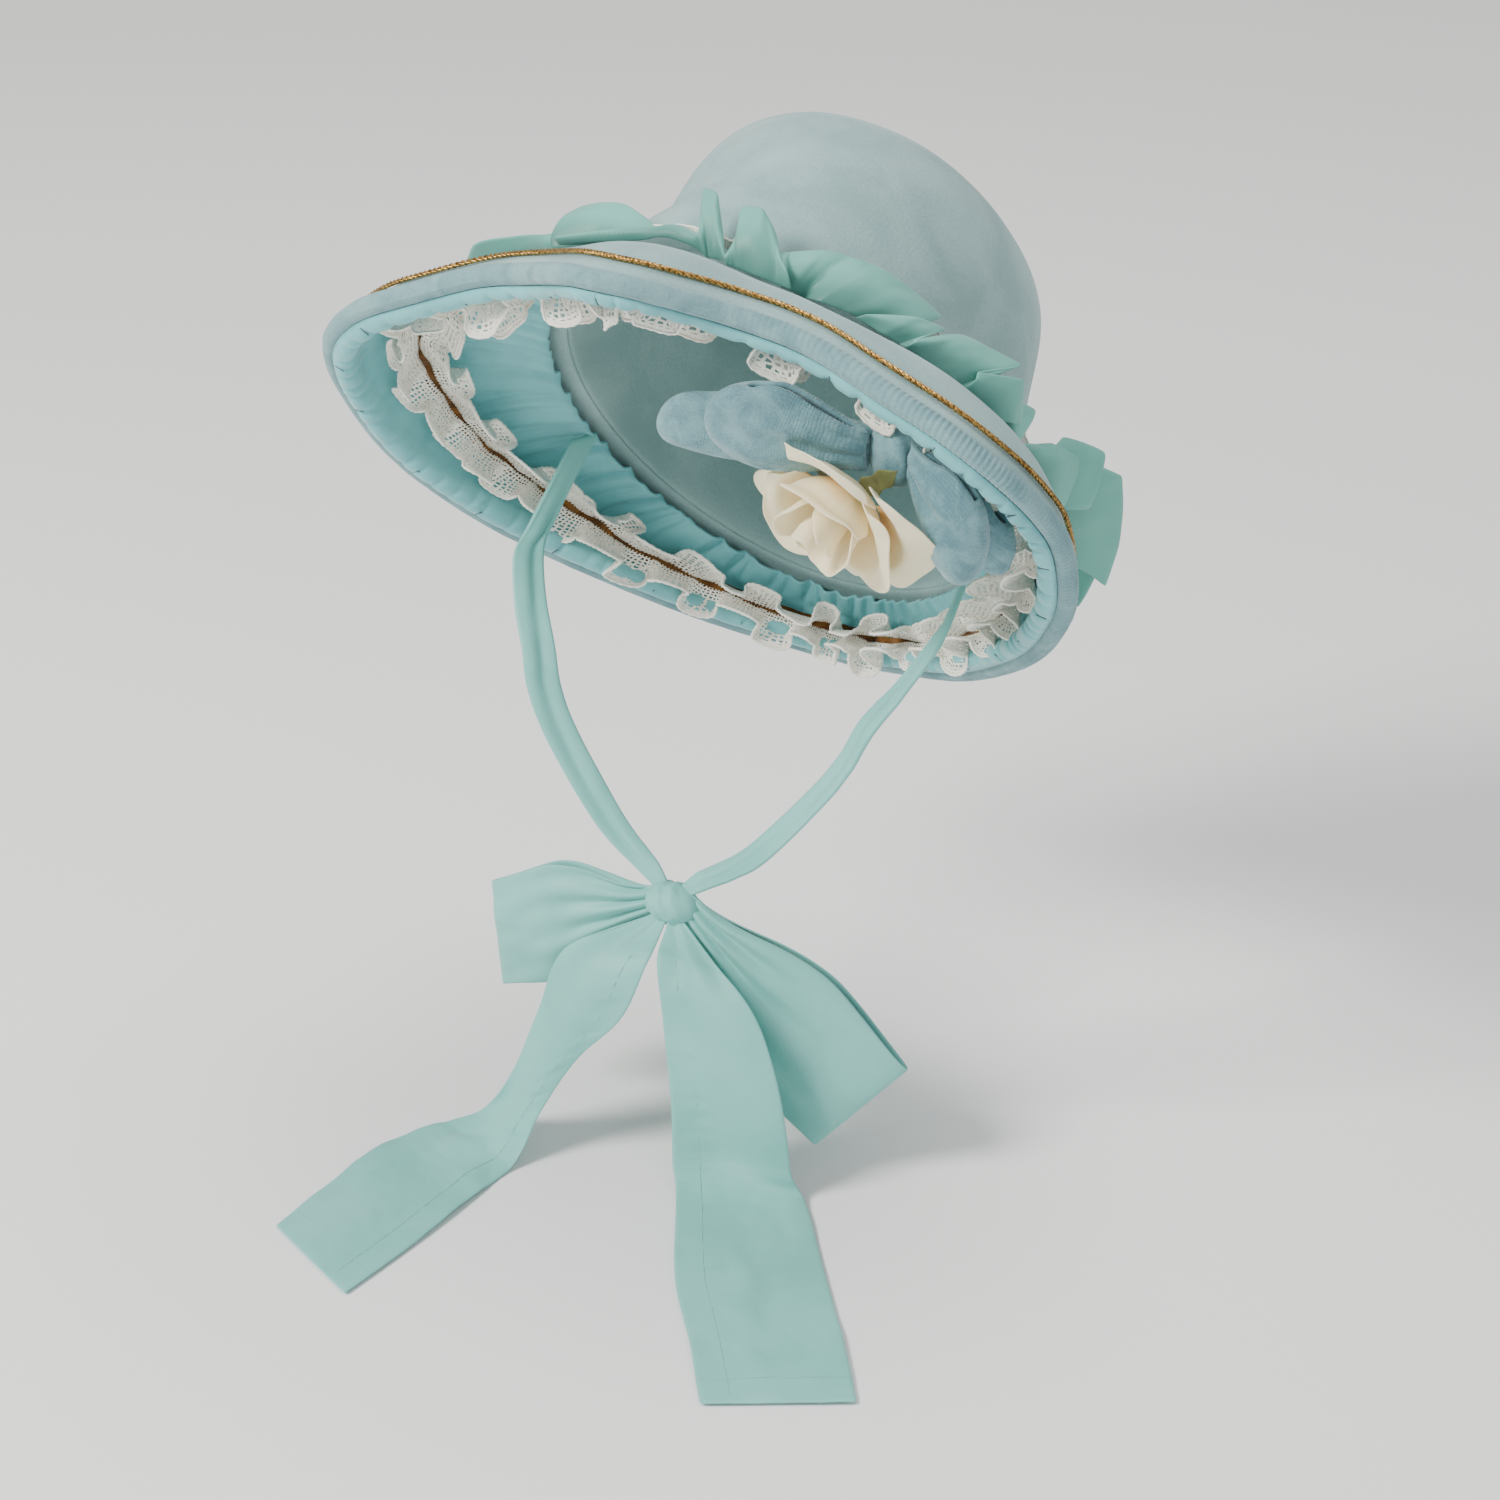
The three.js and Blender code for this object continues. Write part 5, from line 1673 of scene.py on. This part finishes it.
        def place(u: float, v: float) -> Vector:
            """Point of the sepal.

            Args:
                u: Share along the sepal.
                v: Share across it.

            Returns:
                The point, in metres.
            """
            t = 2 * v - 1
            half = 0.17 * radius * math.sin(math.pi * mix(0.2, 0.99, u)) * (1 + 0.25 * math.sin(11 * u))
            middle = out * (radius * (0.43 + length * u))
            lift = self.floor * mix(0.8, -0.1, u) - droop * radius * u * u + 0.9 * abs(t) * (1 - u)
            point = middle + beside * (t * half)
            return self.set_out(Vector((point.x, point.y, lift)))

        piece = shaped_grid(name, Cut(16, 4, length * radius, 9, 0.6), place)
        dress(piece, finish, "leaf_cloth", node)

    def build(self) -> None:
        """Build petals, heart and sepals; the calyx and the stem are made round them."""
        for k, petal in enumerate(ROSE_PETALS):
            self.petal(f"rose_petal_{k + 1}_cloth", petal, k, [f"rose_petal_{k + 1}"] if k < PETAL_SOLIDS else [])
        self.heart()
        self.leaf("rose_sepal_1_cloth", 40, 0.70, LEAF_CLOTH, "rose_sepal_1", 0.05)
        self.leaf("rose_sepal_2_cloth", 160, 0.62, LEAF_CLOTH, "rose_sepal_2", 0.05)
        self.leaf("rose_sepal_3_cloth", 275, 0.74, RED_LEAF_CLOTH, "rose_sepal_3", 0.10)
        self.calyx()
        self.stem()

    def stem(self) -> None:
        """Cloth-wound wire from under the bow's knot to the calyx."""
        foot = self.place @ Vector((0, 0, 0.6))
        bend = (self.knot_foot + foot) / 2 + self.place.to_3x3() @ Vector((0, 0, -4))

        def path(u: float) -> Vector:
            """Middle of the stem."""
            point = self.knot_foot * (1 - u) ** 2 + bend * 2 * u * (1 - u) + foot * u * u
            return self.form.hung(point)

        piece = shaped_grid("rose_stem_cloth", Cut(16, 10, 24, 9, tube=True, levels=0),
                            tube_place(path, lambda u, v: 1.5 * MM, Vector((0, 1, 0.1))))
        dress(piece, STEM_CLOTH, "leaf_cloth", "rose_stem")

    def calyx(self) -> None:
        """Green cup under the petals, spun from its outline."""
        radius = self.diameter / 2
        outline = ((0.0, 0.0), (0.08, 0.0), (0.16, 0.25), (0.34, 0.7), (0.40, 0.9), (0.38, 1.0), (0.0, 1.0))
        shape = bmesh.new()
        rim = [shape.verts.new((r * radius, 0, h * self.floor)) for r, h in outline]
        edges = [shape.edges.new(pair) for pair in zip(rim, rim[1:])]
        bmesh.ops.spin(shape, geom=rim + edges, cent=(0, 0, 0), axis=(0, 0, 1), angle=TAU, steps=28, use_merge=True)
        bmesh.ops.remove_doubles(shape, verts=shape.verts, dist=1e-4)
        bmesh.ops.recalc_face_normals(shape, faces=shape.faces)
        for vert in shape.verts:
            vert.co = self.set_out(vert.co.copy())
        dress(finished("rose_calyx_cloth", shape), LEAF_CLOTH, "leaf_cloth", "rose_calyx")


class RibbonRow(NamedTuple):
    """Row of a ribbon's end: place and width as shares, turn in plan and rise."""

    step: float
    side: float
    forward: float
    down: float
    width: float
    turn: float
    rise: float


class TieRow(NamedTuple):
    """Row of a tie: place as shares of the knot's drop, and the turn of its width."""

    step: float
    across: float
    forward: float
    down: float
    turn: float


TAIL_LEFT = (
    RibbonRow(0, -0.04, 0.030, 0.085, 0.20, 0, 0),
    RibbonRow(1, -0.125, 0.13, 0.20, 0.70, -6, 6),
    RibbonRow(2, -0.17, 0.19, 0.43, 0.68, 0, 10),
    RibbonRow(3, -0.25, 0.23, 0.66, 0.62, 0, 26),
    RibbonRow(4, -0.33, 0.25, 0.87, 0.62, -10, 20),
    RibbonRow(5, -0.39, 0.32, 1.00, 0.80, -22, 0),
    RibbonRow(6, -0.43, 0.49, 1.00, 0.95, -15, 0),
    RibbonRow(7, -0.44, 0.72, 1.00, 1.00, -20, 0),
    RibbonRow(8, -0.45, 0.98, 1.00, 1.00, -28, 0),
)
TAIL_RIGHT = (
    RibbonRow(0, 0.04, 0.030, 0.085, 0.20, 0, 0),
    RibbonRow(1, 0.155, 0.12, 0.20, 0.70, 5, -8),
    RibbonRow(2, 0.22, 0.15, 0.46, 0.85, 5, 0),
    RibbonRow(3, 0.26, 0.16, 0.71, 0.85, 12, 0),
    RibbonRow(4, 0.28, 0.17, 0.91, 0.85, 18, 0),
    RibbonRow(5, 0.34, 0.24, 1.00, 0.90, 25, 0),
    RibbonRow(6, 0.52, 0.51, 1.00, 1.00, 32, 0),
    RibbonRow(7, 0.69, 0.73, 1.00, 1.00, 33, 0),
    RibbonRow(8, 0.85, 0.95, 1.00, 1.00, 31, 0),
)
TIE_ROUTE = (
    TieRow(1, 0.73, 0.08, 0.02, 70),
    TieRow(2, 0.72, 0.18, 0.09, 65),
    TieRow(3, 0.66, 0.27, 0.21, 58),
    TieRow(4, 0.59, 0.34, 0.32, 50),
    TieRow(5, 0.54, 0.385, 0.44, 44),
    TieRow(6, 0.455, 0.42, 0.565, 36),
    TieRow(7, 0.28, 0.455, 0.775, 24),
    TieRow(8, 0.17, 0.48, 0.86, 14),
)


@dataclass
class ChinRibbon:
    """Chiffon ribbon: ties from the brim, the knot, two loops and two ends laid forwards."""

    form: Form
    width: float = 55.0
    tie_width: float = 13.0
    wall: float = 0.9
    tail_reach: float = 150.0
    table_drop: float = 218.0

    def __post_init__(self) -> None:
        """Place of the knot in the hollow's frame."""
        self.knot = Vector((0, -self.form.knot_forward, -self.form.chin_drop))

    def build(self) -> None:
        """Build ties, knot, loops and ends."""
        self.tie("tie_left", -1)
        self.tie("tie_right", 1)
        self.chin_knot()
        self.loop("chin_loop_left", Vector((-1.30, -0.18, -0.48)), Vector((-0.15, -1, 0.1)), 0.14,
                  Vector((0, 0, -1)), Vector((0.05, 0.05, -1)), 0.92, 1.0)
        self.loop("chin_loop_right", Vector((1.42, 0.12, -1.24)), Vector((0.29, -0.92, 0.25)), 0.17,
                  Vector((-0.2, -0.2, -1)), Vector((-0.62, -0.36, -0.68)), 0.96, 4.0)
        self.tail("tail_left", TAIL_LEFT, 1.0, 0.78)
        self.tail("tail_right", TAIL_RIGHT, 6.0, 0.20)

    def into_knot(self, point: Vector, share: float) -> Vector:
        """Point drawn towards the knot's middle by a share of its distance."""
        return point + (self.knot - point) * share

    def loop(self, node: str, tip: Vector, opening: Vector, opened: float, width_from: Vector, width_to: Vector,
             share: float, seed: float) -> None:
        """One loop of the bow under the chin, gathered at the knot.

        Args:
            node: Solid that it takes the place of.
            tip: Where its tip lies from the knot, in widths of the ribbon.
            opening: Direction in which the loop stands open.
            opened: How far it stands open, in widths.
            width_from: Direction of the ribbon's width at the knot.
            width_to: The same at the tip.
            share: Share of the ribbon's width that shows.
            seed: Sets how it wrinkles.
        """
        low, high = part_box("chin_knot")
        half = (high.x - low.x) / 2 / MM
        away = math.copysign(1, tip.x)
        shape = LoopShape(
            start=self.knot + Vector((away * (half - 5.5), 0, 0)), tip=self.knot + tip * self.width,
            opening=opening.normalized(), open=self.width * opened, width_from=width_from.normalized(),
            width_to=width_to.normalized(), width=self.width * share, pinch=0.26, apart=1.0,
            gathers=4, gather_depth=2.6, seed=seed, tip_round=0.10, softness=2.4)

        def place(u: float, v: float) -> Vector:
            """Point of the loop.

            Args:
                u: Share of the way out and back.
                v: Share across the ribbon.

            Returns:
                The point, in metres.
            """
            return self.form.hung(loop_point(shape, u, v))

        length = 2.1 * tip.length * self.width
        piece = shaped_grid(f"{node}_chiffon", Cut(72, 26, length, self.width, self.wall), place)
        dress(piece, CHIFFON, "chiffon_ribbon", node)

    def tail(self, node: str, table: Sequence[RibbonRow], seed: float, seam: float) -> None:
        """One end of the ribbon: it falls from the knot and lies flat at its hemmed end.

        Args:
            node: Solid that it takes the place of.
            table: Rows of the end, from the knot to the hem.
            seed: Sets how it wrinkles.
            seam: Share of the width at which the long seam lies.
        """
        fall = self.table_drop - self.form.chin_drop - self.wall / 2
        last = table[-1].step

        def place(u: float, v: float) -> Vector:
            """Point of the ribbon's end.

            Args:
                u: Share from the knot to the hem.
                v: Share across the ribbon.

            Returns:
                The point, in metres.
            """
            def value(name: str) -> float:
                """Column of the end's table here."""
                return read(table, "step", name, u * last)

            t = 2 * v - 1
            down = min(1.0, value("down"))
            turn, rise = math.radians(value("turn")), math.radians(value("rise"))
            side = Vector((math.cos(turn) * math.cos(rise), math.sin(turn) * math.cos(rise), math.sin(rise)))
            half = value("width") * self.width / 2
            middle = self.knot + Vector((self.tail_reach * value("side"), -self.tail_reach * value("forward"),
                                         -fall * down))
            hanging = 1 - ease((down - 0.9) / 0.1)
            puckers = 1.2 * math.exp(-((v - seam) / 0.10) ** 2) * wander(u * 34, seed) * (0.3 + 0.7 * hanging)
            gather = 1.8 * math.cos(t * math.pi * 2 + seed) * ease(1 - u * 5) * ease(u * 14) + 3.0 * math.sin(
                t * 2.6 + 0.8 * math.sin(u * 9) + seed) * hanging * ease(u * 5) + puckers
            wrinkle = 2.2 * max(0.0, wander(u * 7 + seed, t * 1.1, 1)) + abs(puckers)
            lying = wrinkle * (1 - hanging) * ease((1 - u) * 9)
            lean = Vector((0, -1, 0)) * gather + Vector((0, 0, 1)) * (lying + 0.4 * abs(wander(u * 30, t * 2, seed)))
            return self.form.hung(self.into_knot(middle + side * (t * half) + lean, 0.62 * ease(1 - u * 14)))

        length = run_length(lambda u: place(u, 0.5))
        piece = shaped_grid(f"{node}_chiffon", Cut(120, 22, length / MM, self.width, self.wall), place)
        dress(piece, CHIFFON, "chiffon_ribbon", node)
        self.seams(node, place, length, seam)

    def seams(self, node: str, place: Place, length: float, seam: float) -> None:
        """Stitched seam along the end and the hem across it, as fine raised lines.

        Args:
            node: Solid of the ribbon's end.
            place: Gives a point in metres of the end.
            length: Length of the end in metres.
            seam: Share of the width at which the long seam lies.
        """
        def along(u: float) -> Vector:
            """Line of the long seam."""
            return place(mix(0.1, 0.985, u), seam) + Vector((0, -0.2, 0.4)) * MM

        def across(u: float) -> Vector:
            """Line of the hem."""
            return place(0.955, mix(0.02, 0.98, u)) + Vector((0, 0, 0.4)) * MM

        for name, path, steps in ((f"{node}_seam", along, 220), (f"{node}_hem", across, 60)):
            def radius(u: float, v: float, steps: int = steps) -> float:
                """Radius that swells at each stitch."""
                return (0.16 + 0.10 * abs(math.sin(math.pi * steps / 4 * u))) * MM

            piece = shaped_grid(name, Cut(steps, 5, length / MM, 2, tube=True, levels=0),
                                tube_place(path, radius, Vector((0.3, 0.1, 1))))
            dress(piece, SEAM_THREAD, "chiffon_ribbon")

    def tie(self, node: str, sign: int) -> None:
        """Tie from inside the brim to the knot: the ribbon folded to a narrow band.

        Args:
            node: Solid that it takes the place of.
            sign: One on the right, minus one on the left.
        """
        form = self.form
        brim_start = form.crown_place @ form.brim(sign * 100, 0.07, -7.9) - form.hollow
        rows = [TieRow(0, abs(brim_start.x) / form.chin_drop, -brim_start.y / form.chin_drop,
                       -brim_start.z / form.chin_drop, 70), *TIE_ROUTE]
        end = self.knot + Vector((sign * 6.8, 1.6, 8.8))
        last = len(rows)
        rows.append(TieRow(last, abs(end.x) / form.chin_drop, -end.y / form.chin_drop, -end.z / form.chin_drop, 5))

        def place(u: float, v: float) -> Vector:
            """Point of the folded band, with a soft crease along it.

            Args:
                u: Share from the brim to the knot.
                v: Share across the band.

            Returns:
                The point, in metres.
            """
            def value(name: str) -> float:
                """Column of the route here."""
                return read(rows, "step", name, u * last)

            t = 2 * v - 1
            turn = math.radians(value("turn"))
            side = Vector((-sign * math.cos(turn), math.sin(turn), 0))
            middle = Vector((sign * value("across"), -value("forward"), -value("down"))) * form.chin_drop
            path_normal = Vector((math.sin(turn) * sign, math.cos(turn), 0.2)).normalized()
            crease = 0.9 * math.cos(t * math.pi * 1.5 + u * 5) + 0.5 * wander(u * 8, t, sign)
            point = middle + side * (t * self.tie_width / 2) - path_normal * crease * ease(8 * u * (1 - u))
            return form.hung(self.into_knot(point, 0.60 * ease((u - 0.93) / 0.07)))

        length = run_length(lambda u: place(u, 0.5))
        piece = shaped_grid(f"{node}_chiffon", Cut(110, 10, length / MM, self.tie_width, 2.0), place)
        dress(piece, CHIFFON, "chiffon_ribbon", node)

    def chin_knot(self) -> None:
        """Soft knot with the pleats of the ribbon that is pulled through it."""
        low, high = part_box("chin_knot")
        half = (high - low) / 2

        def place(x: float, y: float, z: float) -> Vector:
            """Point of the knot, pleated across it.

            Args:
                x: Place across on the unit ball.
                y: Place in depth on the unit ball.
                z: Place in height on the unit ball.

            Returns:
                The point, in metres.
            """
            pleat = 1 + 0.07 * math.cos(11 * x + 5 * z) * (1 - x * x) + 0.06 * wander(x * 2, y * 2, z * 2)
            pleat *= mix(0.90, 1.06, ease(0.5 + 0.8 * z))
            return self.form.hung(self.knot) + Vector((x * half.x, y * pleat * half.y, z * pleat * half.z))

        piece = shaped_ball("chin_knot_chiffon", 56, 36, place)
        dress(piece, CHIFFON, "chiffon_ribbon", "chin_knot")


@dataclass(frozen=True)
class Studio:
    """Pale floor, soft lights and the camera at the photograph's angle."""

    azimuth: float = 30.0
    elevation: float = 26.0
    distance: float = 1.8
    target: tuple[float, float, float] = (-0.002, -0.0399, -0.2371)
    lens: float = 113.2
    floor: float = -0.3735

    def camera(self) -> None:
        """Set the camera."""
        a, e = math.radians(self.azimuth), math.radians(self.elevation)
        back = Vector((math.sin(a) * math.cos(e), -math.cos(a) * math.cos(e), math.sin(e)))
        data = bpy.data.cameras.new("camera")
        data.lens = self.lens
        data.sensor_width = 36.0
        data.clip_start = 0.05
        data.clip_end = 30.0
        camera = bpy.data.objects.new("camera", data)
        camera.location = Vector(self.target) + back * self.distance
        camera.rotation_euler = (-back).to_track_quat("-Z", "Y").to_euler()
        bpy.context.scene.collection.objects.link(camera)
        bpy.context.scene.camera = camera

    def light(self, name: str, place: Vector, size: float, power: float, colour: str) -> None:
        """Add one soft light that faces the bonnet.

        Args:
            name: Name of the light.
            place: Its place in metres.
            size: Width of its disk in metres.
            power: Power in watts.
            colour: Colour, as sRGB hex.
        """
        data = bpy.data.lights.new(name, "AREA")
        data.shape = "DISK"
        data.size = size
        data.energy = power
        data.color = linear(colour)[:3]
        lamp = bpy.data.objects.new(name, data)
        lamp.location = place
        lamp.rotation_euler = (place - Vector(self.target)).to_track_quat("Z", "Y").to_euler()
        bpy.context.scene.collection.objects.link(lamp)

    def build(self) -> None:
        """Set up the floor, the lights, the surroundings and the camera."""
        shape = bmesh.new()
        bmesh.ops.create_grid(shape, x_segments=1, y_segments=1, size=6.0)
        bmesh.ops.translate(shape, verts=shape.verts, vec=(0, 0, self.floor))
        floor = finished("floor", shape, smooth=False)
        paint = bpy.data.materials.new("floor_pale")
        paint.use_nodes = True
        shader = paint.node_tree.nodes["Principled BSDF"]
        shader.inputs["Base Color"].default_value = linear("#F7F7F6")
        shader.inputs["Roughness"].default_value = 0.9
        floor.data.materials.append(paint)
        self.light("key", Vector((-0.9, -1.5, 1.3)), 0.8, 60, "#FFFDF8")
        self.light("fill", Vector((1.5, -1.2, 0.6)), 1.2, 7, "#F4F8FF")
        self.light("top", Vector((0.1, 0.5, 1.6)), 1.2, 16, "#FFFFFF")
        world = bpy.data.worlds.new("surroundings")
        world.use_nodes = True
        sky = world.node_tree.nodes["Background"]
        sky.inputs["Color"].default_value = linear("#FFFFFF")
        sky.inputs["Strength"].default_value = 0.50
        bpy.context.scene.world = world
        self.camera()


def main() -> None:
    """Build the bonnet's sub-assemblies in order, then the studio."""
    logging.basicConfig(level=logging.INFO, format="%(relativeCreated)6d ms %(name)s %(message)s")
    form = Form()
    Studio().build()
    VelourShell(form).build()
    Lining(form).build()
    Ruffle(form).build()
    InnerTrim(form).build()
    VelourBow(form).build()
    Rose(form).build()
    ChinRibbon(form).build()


if __name__ == "__main__":
    main()
